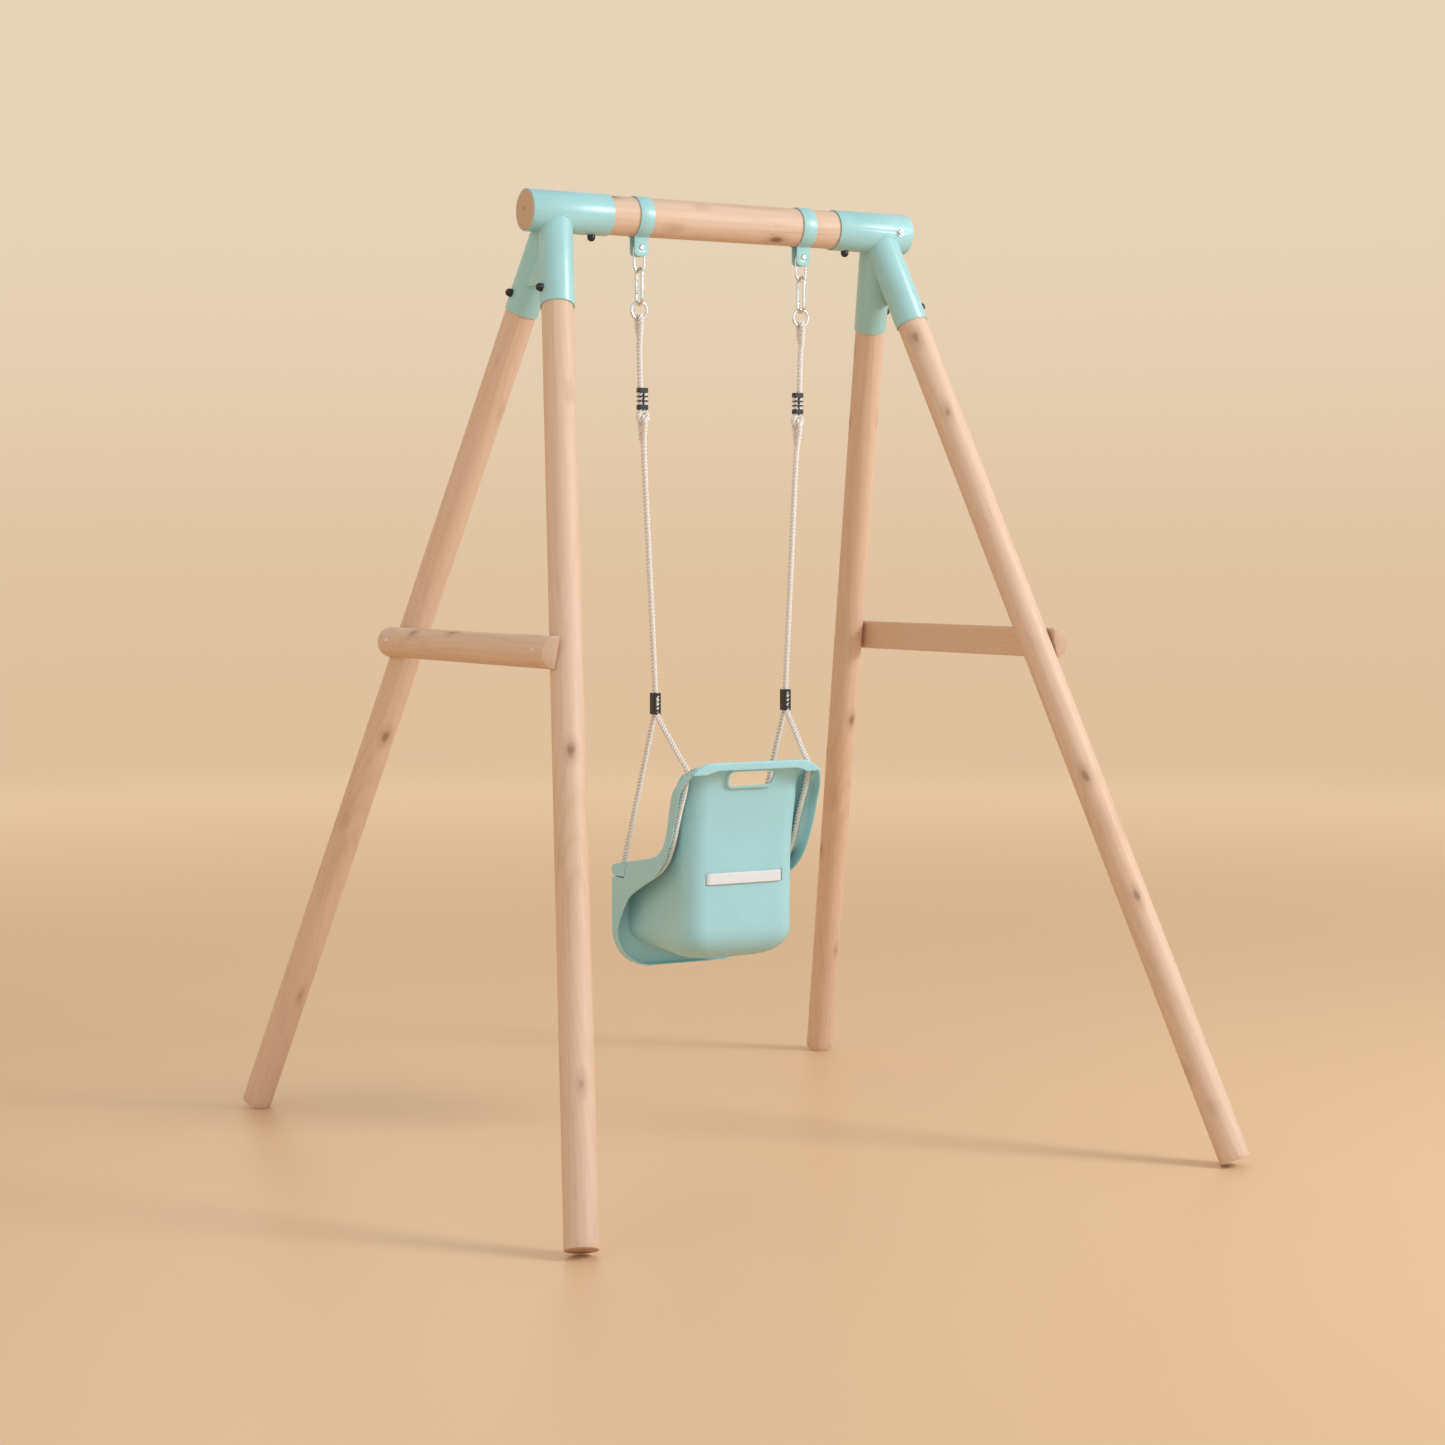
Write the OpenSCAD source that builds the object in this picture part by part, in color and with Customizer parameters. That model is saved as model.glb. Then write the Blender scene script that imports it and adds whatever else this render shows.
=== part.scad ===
// Baby swing: a high-backed bucket seat on ropes under a round-timber A-frame.
// Millimetres, +Z up. Origin on the floor below the middle of the beam.
// X runs along the beam and the child faces -Y, so the child's left is +X.

/* [Frame] */
// Height of the beam's axis above the floor
beam_h = 2405; // [2200:5:2500]
// Diameter of the beam
beam_d = 100; // [90:1:110]
// Length of the beam
beam_l = 1140; // [1100:10:1300]
// Diameter of the legs
leg_d = 80; // [70:1:85]
// Distance from the middle to the point where two leg axes meet the beam axis
apex_x = 485; // [470:5:500]
// Distance of a foot from the middle, along the beam
foot_x = 927; // [800:1:1000]
// Distance of a foot from the middle, across the beam
foot_y = 985; // [850:1:1050]
// Length of a leg pole
leg_l = 2500; // [2200:10:2520]
// Height of the middle of a brace
brace_z = 1303; // [900:1:1500]
// Length of a half-round brace
brace_l = 970; // [900:10:1000]

/* [Brackets] */
// Wall of the steel sleeves
sleeve_t = 3; // [2:0.5:4]
// Play between timber and sleeve
sleeve_gap = 0.5; // [0.3:0.1:1]
// Where a beam sleeve begins, from the middle
sleeve_in = 340; // [310:5:350]
// Where a leg sleeve ends, along the leg from the apex
sleeve_end = 272; // [260:1:300]
// Offset of the web plate from the plane of the leg axes
web_offset = 24; // [0:1:30]

/* [Hangers] */
// Distance of a hanger from the middle
hang_x = 244; // [230:1:260]
// Width of the clamp strap
clamp_w = 40; // [30:1:42]
// Clear gap between a clamp's ears
ear_gap = 22; // [16:1:24]
// Wire radius of the chain link
link_r = 3.5; // [3:0.5:4]
// Wire radius of the snap hook
hook_r = 4; // [3.5:0.5:4.5]
// Wire radius of the rope ring
ring_r = 3.5; // [3:0.5:4]
// Centre-line radius of the rope ring
ring_c = 22.5; // [21:0.5:25]

/* [Ropes] */
// Diameter of the rope
rope_d = 11; // [10:0.5:11]
// Width, depth and height of a rope adjuster and of a rope clip
block_w = 27; // [27:1:32]
block_d = 18; // [16:1:22]
block_h = 56; // [50:1:60]

/* [Seat] */
// Overall width of the seat
seat_w = 426; // [426:1:440]
// Width of the tub
tub_w = 330; // [320:1:332]
// Wall of the moulded shell
wall = 4; // [3:0.5:4]
// Height of the front apron's lower edge
apron_z = 439; // [430:1:450]
// Height of the front lip that the child's legs pass over
lip_z = 525; // [515:1:530]
// Height of the ledge that the guard bar rests on
ledge_z = 686.5; // [686:0.5:687]
// Width of the belt webbing
belt_w = 30; // [25:1:30]

/* [Hidden] */
$fn = 64;

mint = "#a6d0c8";
mint_steel = "#a0cdc9";
timber = "#d2a27e";
rope_white = "#f0e4d6";
black = "#15130f";
zinc = "#b9bcbf";

// Legs: the foot's square-cut end stands on its lowest edge.
foot_run = norm([foot_x - apex_x, foot_y]);
first_lean = atan2(foot_run, beam_h);
leg_lean = atan2(foot_run, beam_h - leg_d / 2 * sin(first_lean));
foot_z = leg_d / 2 * sin(leg_lean);
axis_l = norm([foot_x - apex_x, foot_y, beam_h - foot_z]);
leg_top = axis_l - leg_l;
splay = atan2(foot_x - apex_x, beam_h - foot_z);
plane_normal = [cos(splay), 0, sin(splay)];
plane_down = [sin(splay), 0, -cos(splay)];
apex = [apex_x, 0, beam_h];
bolt_down = 212;
bolt_y = bolt_down * foot_y / norm([foot_x - apex_x, beam_h - foot_z]);
sleeve_r = leg_d / 2 + sleeve_gap + sleeve_t;
beam_sleeve_r = beam_d / 2 + sleeve_gap + sleeve_t;
beam_bolt_x = 382;
bolt_depth = 30;
side_screw_x = 525;
brace_screw_y = 432;

// Hangers: every height follows from the clamp bolt down to the ring.
clamp_t = 3;
clamp_bolt_z = beam_h - 78;
link_half = 14.5;
link_top_z = clamp_bolt_z + 4 + link_r + 0.2;
pivot_z = 2267.5;
wire_gap = 0.3;
hook_half = 16;
hook_top_z = pivot_z + link_r + hook_r + wire_gap;
ring_z = 2168;
hook_low_z = ring_z + ring_c - ring_r - hook_r - wire_gap;
gate_pin_z = 2209;
gate_top_z = 2252.5;
gate_r = 3.6;

// Ropes: routes of the left side's centre lines; the right side mirrors them.
rope_r = rope_d / 2;
eye_r = 11.8;
ring_bight_r = 9.6;
eye_x = 234;
loop_z = 1883;
adjuster_at = [235, 0, 1942];
clip_at = [198, 0, 1155];
hole_pitch = 12;
function arc_yz(x, z, r, from, to) =
    [for (a = [from : (to - from) / 6 : to]) [x, r * cos(a), z + r * sin(a)]];
function arc_xz(x, z, r, from, to) =
    [for (a = [from : (to - from) / 6 : to]) [x + r * cos(a), 0, z + r * sin(a)]];
upper_route = concat(
    [[244, -6.5, 2116], [244, -8, 2128]],
    arc_yz(hang_x, ring_z - ring_c, ring_bight_r, 180, 0),
    [[244, 8, 2128], [244, 6.5, 2112], [244, 3, 2094], [243.5, 0.5, 2078], [243, 0, 2060],
     [241, 0, 1970], [241, 0, 1940], [241, 0, 1912], [244.5, 0, 1903]],
    arc_xz(eye_x, loop_z + eye_r, eye_r, 0, -180),
    [[223.5, 0, 1903], [229, 0, 1912], [229, 0, 1950]]);
lower_route = concat(
    [[234, -6.5, 1846], [234, -8, 1860], [234, -11, 1874]],
    arc_yz(eye_x, loop_z, eye_r, 180, 0),
    [[234, 11, 1874], [234, 8, 1860], [233.5, 5, 1846], [232, 1.5, 1825], [230.5, 0, 1800],
     [214, 0, 1490], [198.5, 0, 1190], [198, 0, 1165]]);
seat_route = [
    [198, -6.5, 1150], [198, -6.5, 1125], [198, -10.6, 1117], [198, -59.6, 1000], [198, -143.2, 800],
    [198, -191, 685.5], [197, -195, 672], [195, -191, 661], [192, -176, 656], [190, -140, 662],
    [188, -90, 678], [186, -40, 697], [184, 8, 724], [183, 40, 755], [183, 66, 800], [183, 84, 845],
    [183, 103, 890], [183, 120, 925], [183, 133, 955], [183, 142, 984], [184, 139, 996],
    [187, 112, 1020], [193, 60, 1073], [197.5, 14, 1117], [198, 6.5, 1125], [198, 6.5, 1150]];
strand_dir = [0, 168.5, 403] / norm([0, 168.5, 403]);
guard_hole = [198, -175, 724];
back_hole = [183, 142, 984];

// Seat outlines, as [y, z] pairs seen from the side.
front_y = -217;
guard_back_y = -151;
strand_slope = 168.5 / 403;
rim_pts = [[-150, 728], [-85, 738], [-4, 752], [38, 765], [66, 790], [86, 835], [99, 890],
           [118, 937], [147, 968], [183, 1009]];
wing_pts = [[-150, 728], [-85, 738], [-10, 751], [30, 772], [52, 810], [66, 850], [80, 900],
            [100, 945], [140, 984], [183, 1009]];
skirt_pts = [[-188, 439], [-187, 500], [-183, 545], [-160, 588], [-122, 633], [-60, 666], [20, 702],
             [72, 742], [105, 790], [132, 850], [152, 910], [168, 950], [188, 985], [190, 1009]];
back_pts = [[118, 569], [118, 640], [119, 718], [123, 820], [132, 890], [142, 944], [163, 985], [183, 1009]];
pan_back_z = 484;
pan_front_z = 500;
heel_r = 85;
heel_y = back_pts[0].x - heel_r;
top_z = 1009;
apron_corner = 105;
head_corner = 85;
tub_corner = 50;
tub_edge = 65;
slot_x = 112;
belt_z = 702;
belt_t = 1.6;
belt_droop = 10;
handle_z = 963;

// Points on a smooth curve through the given ones.
function spline(p, n = 5) = concat(
    [for (i = [0 : len(p) - 2])
        let (a = p[max(i - 1, 0)], b = p[i], c = p[i + 1], d = p[min(i + 2, len(p) - 1)])
        for (k = [0 : n - 1]) let (t = k / n)
            0.5 * (2 * b + (c - a) * t + (2 * a - 5 * b + 4 * c - d) * t * t
                   + (3 * b - a - 3 * c + d) * t * t * t)],
    [p[len(p) - 1]]);
function backward(p) = [for (i = [len(p) - 1 : -1 : 0]) p[i]];
function moved(p, v) = [for (q = p) q + v];
function unit(v) = v / norm(v);
// The same open outline moved sideways by t, to its right.
function beside(p, t) = [for (i = [0 : len(p) - 1])
    let (d = unit(p[min(i + 1, len(p) - 1)] - p[max(i - 1, 0)])) p[i] + t * [d.y, -d.x]];

// Rope sweep: an eight-sided tube along a route, with the route cut into short steps.
function stepped(p, step = 30) = concat(
    [for (i = [0 : len(p) - 2]) let (n = ceil(norm(p[i + 1] - p[i]) / step))
        for (k = [0 : n - 1]) p[i] + (p[i + 1] - p[i]) * k / n],
    [p[len(p) - 1]]);
function headings(p) = [for (i = [0 : len(p) - 1])
    unit(p[min(i + 1, len(p) - 1)] - p[max(i - 1, 0)])];
function turned(u, h) = unit(u - (u * h) * h);
function sides(h, i = 0, u = [0.6, 0.8, 0]) =
    i >= len(h) ? [] : let (v = turned(u, h[i])) concat([v], sides(h, i + 1, v));

module rope(route, mirrored) {
    p = stepped(mirrored ? [for (q = route) [-q.x, q.y, q.z]] : route);
    h = headings(p);
    u = sides(h);
    n = 8;
    ring_points = [for (i = [0 : len(p) - 1]) for (k = [0 : n - 1])
        p[i] + rope_r * (cos(360 * k / n) * u[i] + sin(360 * k / n) * cross(h[i], u[i]))];
    start_face = [for (k = [n - 1 : -1 : 0]) k];
    end_face = [for (k = [0 : n - 1]) (len(p) - 1) * n + k];
    skin = [for (i = [0 : len(p) - 2]) for (k = [0 : n - 1])
        [i * n + k, i * n + (k + 1) % n, (i + 1) * n + (k + 1) % n, (i + 1) * n + k]];
    color(rope_white) polyhedron(points = ring_points, faces = concat([end_face], [start_face], skin));
}

// Placing helpers
module along(p, u) translate(p) rotate([0, acos(u.z), atan2(u.y, u.x)]) children();
module half_turn(yes) rotate([0, 0, yes ? 180 : 0]) children();
module other_side(yes) mirror([yes ? 1 : 0, 0, 0]) children();
module both_sides() {
    children();
    mirror([1, 0, 0]) children();
}
module both_ends() {
    children();
    rotate([0, 0, 180]) children();
}
// A side outline, given as [y, z], made into a slab from x0 to x1.
module slab(x0, x1) translate([x0, 0, 0]) rotate([90, 0, 90]) linear_extrude(x1 - x0) children();
// A front outline, given as [x, z], made into a slab from y0 to y1.
module plate(y0, y1) translate([0, y1, 0]) rotate([90, 0, 0]) linear_extrude(y1 - y0) children();
module rounded(w, h, r) {
    square([w - 2 * r, h], center = true);
    square([w, h - 2 * r], center = true);
    for (x = [-1, 1], y = [-1, 1]) translate([x * (w / 2 - r), y * (h / 2 - r)]) circle(r);
}

// Timber frame
function leg_dir(side) = unit([foot_x - apex_x, side * foot_y, foot_z - beam_h]);

module top_beam() color(timber)
    translate([-beam_l / 2, 0, beam_h]) rotate([0, 90, 0]) difference() {
        cylinder(d = beam_d, h = beam_l);
        for (x = [-beam_bolt_x, beam_bolt_x]) translate([-bolt_depth, 0, x + beam_l / 2])
            rotate([0, 90, 0]) cylinder(r = 5, h = beam_d);
    }

// side is -1 for a front leg and 1 for a rear leg
module leg(side, turned) color(timber) half_turn(turned) difference() {
    along(apex + leg_top * leg_dir(side), leg_dir(side)) cylinder(d = leg_d, h = leg_l);
    along(apex + bolt_down * plane_down + [0, side * bolt_y, 0] - bolt_depth * plane_normal, plane_normal)
        cylinder(r = 5, h = leg_d);
}

module brace(turned) {
    flat = apex + (beam_h - brace_z) / cos(splay) * plane_down + leg_d / 2 * plane_normal;
    color(timber) half_turn(turned) translate(flat) rotate([0, -splay, 0]) rotate([-90, 0, 0])
        translate([0, 0, -brace_l / 2]) intersection() {
            cylinder(d = leg_d, h = brace_l);
            translate([0.05, -leg_d, 0]) cube([leg_d, 2 * leg_d, brace_l]);
        }
}

// Welded corner bracket: beam sleeve, two leg sleeves and the web between them
module leg_tube(side, r, from, to) along(apex + from * leg_dir(side), leg_dir(side))
    cylinder(r = r, h = to - from);

module web() translate(apex + web_offset * plane_normal) rotate([0, -splay, 0])
    slab(-2, 2) polygon([[0, -30], [-80, -195], [80, -195]]);

module corner_bracket(turned) color(mint_steel) half_turn(turned) difference() {
    union() {
        translate([sleeve_in, 0, beam_h]) rotate([0, 90, 0])
            cylinder(r = beam_sleeve_r, h = beam_l / 2 - 2 - sleeve_in);
        difference() {
            union() {
                for (s = [-1, 1]) leg_tube(s, sleeve_r, 20, sleeve_end);
                web();
            }
            for (s = [-1, 1]) leg_tube(s, sleeve_r - sleeve_t, 50, sleeve_end + 10);
        }
    }
    translate([sleeve_in - 10, 0, beam_h]) rotate([0, 90, 0])
        cylinder(r = beam_sleeve_r - sleeve_t, h = beam_l / 2);
    translate([beam_bolt_x, 0, beam_h - beam_d]) cylinder(r = 5.2, h = beam_d);
    translate([side_screw_x, 0, beam_h]) rotate([90, 0, 0]) cylinder(r = 3.6, h = beam_d);
    for (s = [-1, 1]) leg_bolt_place(s) cylinder(r = 5.2, h = leg_d);
}

// Fasteners
module dome_nut(r, h) {
    cylinder(r = r, h = 3);
    intersection() {
        translate([0, 0, h - r]) sphere(r);
        translate([0, 0, 2]) cylinder(r = r, h = h);
    }
}

// Studs that end inside the timber, each with a domed nut on the outer side
module leg_bolt_place(s) along(apex + bolt_down * plane_down + [0, s * bolt_y, 0], plane_normal) children();

module leg_bolts() color(zinc) both_ends() for (s = [-1, 1]) leg_bolt_place(s)
    translate([0, 0, -bolt_depth]) cylinder(r = 4.9, h = sleeve_r + bolt_depth + 5);

module leg_cap_nuts() color(black) both_ends() for (s = [-1, 1]) leg_bolt_place(s) difference() {
    translate([0, 0, sleeve_r - 0.1]) dome_nut(10.5, 16);
    translate([0, 0, sleeve_r - 1]) cylinder(r = 4.9, h = 6.2);
}

module beam_bolts() color(zinc) both_ends() translate([beam_bolt_x, 0, beam_h])
    translate([0, 0, -beam_sleeve_r - 5]) cylinder(r = 4.9, h = beam_sleeve_r + bolt_depth + 5);

module beam_cap_nuts() color(black) both_ends() translate([beam_bolt_x, 0, beam_h]) rotate([180, 0, 0])
    difference() {
        translate([0, 0, beam_sleeve_r - 0.1]) dome_nut(10.5, 16);
        translate([0, 0, beam_sleeve_r - 1]) cylinder(r = 4.9, h = 6.2);
    }

module beam_side_screws() color(zinc) both_ends() translate([side_screw_x, 0, beam_h]) rotate([90, 0, 0]) {
    difference() {
        union() {
            translate([0, 0, beam_sleeve_r - 0.1]) cylinder(r = 11, h = 2);
            translate([0, 0, beam_sleeve_r + 1.9]) cylinder(r1 = 9, r2 = 6.5, h = 4.5);
        }
        translate([0, 0, beam_sleeve_r + 3.5]) cylinder(r = 3.2, h = 6, $fn = 6);
    }
    translate([0, 0, beam_sleeve_r - 3.4]) cylinder(r = 3.5, h = 5);
}

module brace_screws() color(zinc) both_ends() for (y = [-brace_screw_y, brace_screw_y])
    translate([0, y, 0]) along(apex + (beam_h - brace_z) / cos(splay) * plane_down
        + leg_d * plane_normal, plane_normal) difference() {
        translate([0, 0, -0.05]) cylinder(r1 = 6, r2 = 4.6, h = 1.8);
        translate([0, 0, 0.9]) cylinder(r = 2.3, h = 2, $fn = 6);
    }

// Hanger: strap clamp, chain link, snap hook and ring
module hanger_clamp() color(mint_steel) translate([hang_x, 0, beam_h]) difference() {
    union() {
        rotate([0, 90, 0]) cylinder(r = beam_d / 2 + 0.3 + clamp_t, h = clamp_w, center = true);
        intersection() {
            translate([-clamp_w / 2, -ear_gap / 2 - clamp_t, -100])
                cube([clamp_w, ear_gap + 2 * clamp_t, 64]);
            plate(-30, 30) {
                translate([0, -47]) square([clamp_w, 80], center = true);
                translate([0, -67]) rounded(clamp_w, 66, 12);
            }
        }
    }
    rotate([0, 90, 0]) cylinder(r = beam_d / 2 + 0.3, h = clamp_w + 10, center = true);
    translate([-clamp_w, -ear_gap / 2, -120]) cube([2 * clamp_w, ear_gap, 90]);
    translate([0, 0, -78]) rotate([90, 0, 0]) cylinder(r = 4.2, h = 60, center = true);
}

module clamp_bolts() color(zinc) both_sides() translate([hang_x, 0, clamp_bolt_z]) rotate([-90, 0, 0]) {
    translate([0, 0, -ear_gap / 2 - clamp_t - 9]) cylinder(r = 4, h = ear_gap + 2 * clamp_t + 9);
    difference() {
        translate([0, 0, ear_gap / 2 + clamp_t]) cylinder(r1 = 8, r2 = 5, h = 4.6);
        translate([0, 0, ear_gap / 2 + clamp_t + 2.4]) cylinder(r = 2.9, h = 6, $fn = 6);
    }
}

module clamp_washers() color(zinc) both_sides() translate([hang_x, 0, clamp_bolt_z]) rotate([90, 0, 0])
    translate([0, 0, ear_gap / 2 + clamp_t]) difference() {
        cylinder(r = 8.5, h = 1.5);
        translate([0, 0, -1]) cylinder(r = 4.2, h = 5);
    }

module clamp_nuts() color(zinc) both_sides() translate([hang_x, 0, clamp_bolt_z]) rotate([90, 0, 0])
    translate([0, 0, ear_gap / 2 + clamp_t + 1.5]) difference() {
        cylinder(r = 7.5, h = 6.5, $fn = 6);
        translate([0, 0, -1]) cylinder(r = 4.02, h = 12);
    }

// Half of a wire ring standing in the X-Z plane, above or below its centre
module half_torus(c, r, below) rotate([below ? -90 : 90, 0, 0]) rotate_extrude(angle = 180)
    translate([c, 0]) circle(r, $fn = 32);

module chain_link() color(zinc) translate([hang_x, 0, 0]) {
    translate([0, 0, link_top_z - link_half]) half_torus(link_half, link_r, false);
    translate([0, 0, pivot_z + link_half]) half_torus(link_half, link_r, true);
    for (x = [-link_half, link_half]) translate([x, 0, pivot_z + link_half])
        cylinder(r = link_r, h = link_top_z - pivot_z - 2 * link_half, $fn = 32);
}

module snap_hook() color(zinc) translate([hang_x, 0, 0]) rotate([0, 0, 90]) difference() {
    union() {
        translate([0, 0, hook_top_z - hook_half]) half_torus(hook_half, hook_r, false);
        translate([0, 0, hook_low_z + hook_half]) half_torus(hook_half, hook_r, true);
        translate([hook_half, 0, hook_low_z + hook_half])
            cylinder(r = hook_r, h = hook_top_z - hook_low_z - 2 * hook_half, $fn = 32);
        translate([-hook_half, 0, gate_top_z + 0.6])
            cylinder(r = hook_r, h = hook_top_z - hook_half - gate_top_z - 0.6, $fn = 32);
        translate([-hook_half, 0, hook_low_z + hook_half])
            cylinder(r = hook_r, h = 2202.5 - hook_low_z - hook_half, $fn = 32);
        translate([-hook_half, 0, gate_pin_z]) rotate([90, 0, 0]) cylinder(r = 3.3, h = 3, center = true);
        translate([-hook_half - 3.3, -1.5, 2200]) cube([6.6, 3, gate_pin_z - 2200]);
    }
    translate([-hook_half, 0, gate_pin_z]) rotate([90, 0, 0]) cylinder(r = 1.25, h = 20, center = true);
}

module snap_gate() color(zinc) translate([hang_x, -hook_half, 0]) difference() {
    translate([0, 0, gate_pin_z - 4.2]) cylinder(r = gate_r, h = gate_top_z - gate_pin_z + 4.2, $fn = 32);
    translate([-1.8, -10, gate_pin_z - 6]) cube([3.6, 20, 11]);
    translate([0, 0, gate_pin_z]) rotate([0, 90, 0]) cylinder(r = 1.3, h = 20, center = true);
}

module gate_pins() color(zinc) both_sides() translate([hang_x, -hook_half, gate_pin_z])
    rotate([0, 90, 0]) cylinder(r = 1.25, h = 2 * gate_r, center = true);

module rope_ring() color(zinc) translate([hang_x, 0, ring_z]) rotate([90, 0, 0])
    rotate_extrude() translate([ring_c, 0]) circle(ring_r, $fn = 32);

// Black rope fittings: two thick ends, two thin bars and a spine between the strands
module rope_adjuster() color(black) translate(adjuster_at) difference() {
    translate([0, 0, -block_h / 2]) linear_extrude(block_h) rounded(block_w, block_d, 2.5);
    for (x = [-hole_pitch / 2, hole_pitch / 2]) translate([x, 0, -block_h])
        cylinder(r = rope_r + 0.2, h = 2 * block_h);
    for (z = [-11.5, 0, 11.5]) for (x = [-8, 8]) translate([x, 0, z])
        cube([14, block_d + 5, 7.5], center = true);
}

module rope_clip() color(black) translate(clip_at) difference() {
    translate([0, 0, -block_h / 2]) linear_extrude(block_h) rounded(block_d + 2, block_w, 2.5);
    cylinder(r = rope_r + 0.2, h = block_h);
    translate([0, 0, -12]) cylinder(r = rope_r + 0.2, h = 20);
    for (y = [-6.5, 6.5]) translate([0, y, -block_h]) cylinder(r = rope_r + 0.2, h = block_h);
    for (z = [-12, 0, 12]) plate(-block_w, block_w) translate([0, z]) {
        square([3, 7], center = true);
        for (x = [-1.5, 1.5]) translate([x, 0]) circle(3.5);
    }
}

// Seat shell
module front_outline(inset = 0) {
    w = seat_w / 2 - inset;
    low = apron_z + inset;
    high = top_z - inset;
    translate([-w, low + apron_corner]) square([2 * w, high - low - apron_corner - head_corner]);
    for (m = [0, 1]) mirror([m, 0]) {
        translate([w - apron_corner, low + apron_corner]) circle(apron_corner, $fn = 96);
        translate([w - head_corner, high - head_corner]) circle(head_corner, $fn = 96);
    }
    translate([apron_corner - w, low]) square([2 * (w - apron_corner), 2 * apron_corner]);
    translate([head_corner - w, high - 2 * head_corner]) square([2 * (w - head_corner), 2 * head_corner]);
}

function rim() = spline(rim_pts);
function wing() = spline(wing_pts);
function skirt_edge() = spline(skirt_pts);
function back_wall() = spline(back_pts, 4);
function heel(r) = [for (a = [-90 : 10 : 0]) [heel_y + r * cos(a), pan_back_z + heel_r + r * sin(a)]];
function tub_side() = concat([[front_y, pan_front_z]], heel(heel_r), back_wall(), backward(wing()),
    [[front_y, 728]]);
function tub_room() = concat([[front_y + wall, pan_front_z + wall]], heel(heel_r - wall),
    moved(back_wall(), [-wall, 0]), [[200, 1100], [-400, 1100], [-400, lip_z], [front_y + wall, lip_z]]);

// Flat-sided arcs keep the crossings of the tub's leaning and upright corners clean
function facet_arc(x, y, r, from, to) = [for (k = [0 : 6]) let (a = from + (to - from) * k / 6)
    [x + r * cos(a), y + r * sin(a)]];

// Plan of the tub, its back at y = 0, made into a column that is upright below and leans above
module tub_plan(inset) {
    w = tub_w / 2 - inset;
    r = tub_corner - inset;
    polygon(concat([[-w, -500], [w, -500]], facet_arc(w - r, -r, r, 0, 90),
        facet_arc(r - w, -r, r, 90, 180)));
}

module tub_column(inset) {
    back = 119 - inset;
    translate([0, back, 400]) linear_extrude(500) tub_plan(inset);
    translate([0, back, 718]) rotate([-atan2(24, 226), 0, 0]) translate([0, 0, -150])
        linear_extrude(600) tub_plan(inset);
}

module tub_front(inset) {
    w = tub_w / 2 - inset;
    r = tub_edge - inset;
    low = pan_back_z + inset;
    polygon(concat([[w, 1200], [-w, 1200]], facet_arc(r - w, low + r, r, 180, 270),
        facet_arc(w - r, low + r, r, 270, 360)));
}

module tub() difference() {
    intersection() {
        slab(-250, 250) polygon(tub_side());
        tub_column(0);
        plate(-300, 300) tub_front(0);
    }
    intersection() {
        slab(-250, 250) polygon(tub_room());
        tub_column(wall);
        plate(-500, 300) tub_front(wall);
    }
}

module apron() plate(front_y, front_y + wall) difference() {
    intersection() {
        front_outline();
        translate([-300, 400]) square([600, ledge_z - 400]);
    }
    translate([wall - tub_w / 2, lip_z]) square([tub_w - 2 * wall, 400]);
}

// Flange strips along the arms and the wings, with the step that leaves room for the rope
module strip(line, x0, x1) intersection() {
    slab(x0, x1) polygon(concat(line, backward(beside(line, wall))));
    plate(-300, 300) front_outline();
}

module flanges() both_sides() {
    strip(wing(), tub_w / 2 - wall, 195);
    strip(rim(), 191, seat_w / 2);
    intersection() {
        slab(191, 195) polygon(concat(wing(), backward(beside(rim(), wall))));
        plate(-300, 300) front_outline();
    }
}

module head_panel() intersection() {
    slab(-seat_w / 2, seat_w / 2) polygon(concat(
        [[138, 944], [159, 985], [179, 1009]], [[190, 1009], [190, 986], [186, 986], [186, 1004],
         [180, 1000], [163, 980], [143, 940]]));
    plate(-300, 300) front_outline();
}

module skirt() intersection() {
    slab(-seat_w / 2, seat_w / 2) polygon(concat([[front_y, apron_z], [front_y, 728]], rim(),
        backward(skirt_edge())));
    plate(-300, 300) difference() {
        front_outline();
        front_outline(wall);
    }
}

module handle_slot() translate([0, handle_z]) rounded(132, 36, 12);

module handle_collar() intersection() {
    plate(100, 172) difference() {
        translate([0, handle_z]) rounded(148, 52, 18);
        handle_slot();
    }
    slab(-100, 100) polygon(concat(backward(moved(back_wall(), [-1, 0])), [[172, 569], [172, 1009]]));
}

// The rear face of the guard bar, shifted back by gap: it runs along the front strands
function bar_rear(z, gap) = [guard_back_y + gap + (z - ledge_z) * strand_slope, z];

module arm_box() both_sides() slab(tub_w / 2 - wall, seat_w / 2) {
    polygon([[front_y, ledge_z - wall], bar_rear(ledge_z - wall, 6), bar_rear(ledge_z, 6),
        [front_y, ledge_z]]);
    polygon([bar_rear(ledge_z - wall, 0.6), bar_rear(ledge_z - wall, 0.6 + wall), bar_rear(730, 0.6 + wall),
        bar_rear(729.5, 0.6)]);
}

module seat_shell() color(mint) difference() {
    union() {
        difference() {
            union() {
                tub();
                flanges();
                skirt();
            }
            slab(-300, 300) polygon([[-400, ledge_z], bar_rear(ledge_z, 0.6), bar_rear(800, 0.6),
                [-400, 800]]);
        }
        apron();
        head_panel();
        handle_collar();
        arm_box();
    }
    plate(100, 200) handle_slot();
    for (x = [-slot_x, slot_x]) translate([x - 3, 100, belt_z - belt_w / 2 - 2]) cube([6, 40, belt_w + 4]);
    both_sides() {
        along(guard_hole - 60 * strand_dir, strand_dir) cylinder(r = rope_r + 1.2, h = 45);
        along(back_hole - 30 * unit([0, 0.3, 1]), unit([0, 0.3, 1])) cylinder(r = rope_r + 1.5, h = 60);
    }
}

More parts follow.
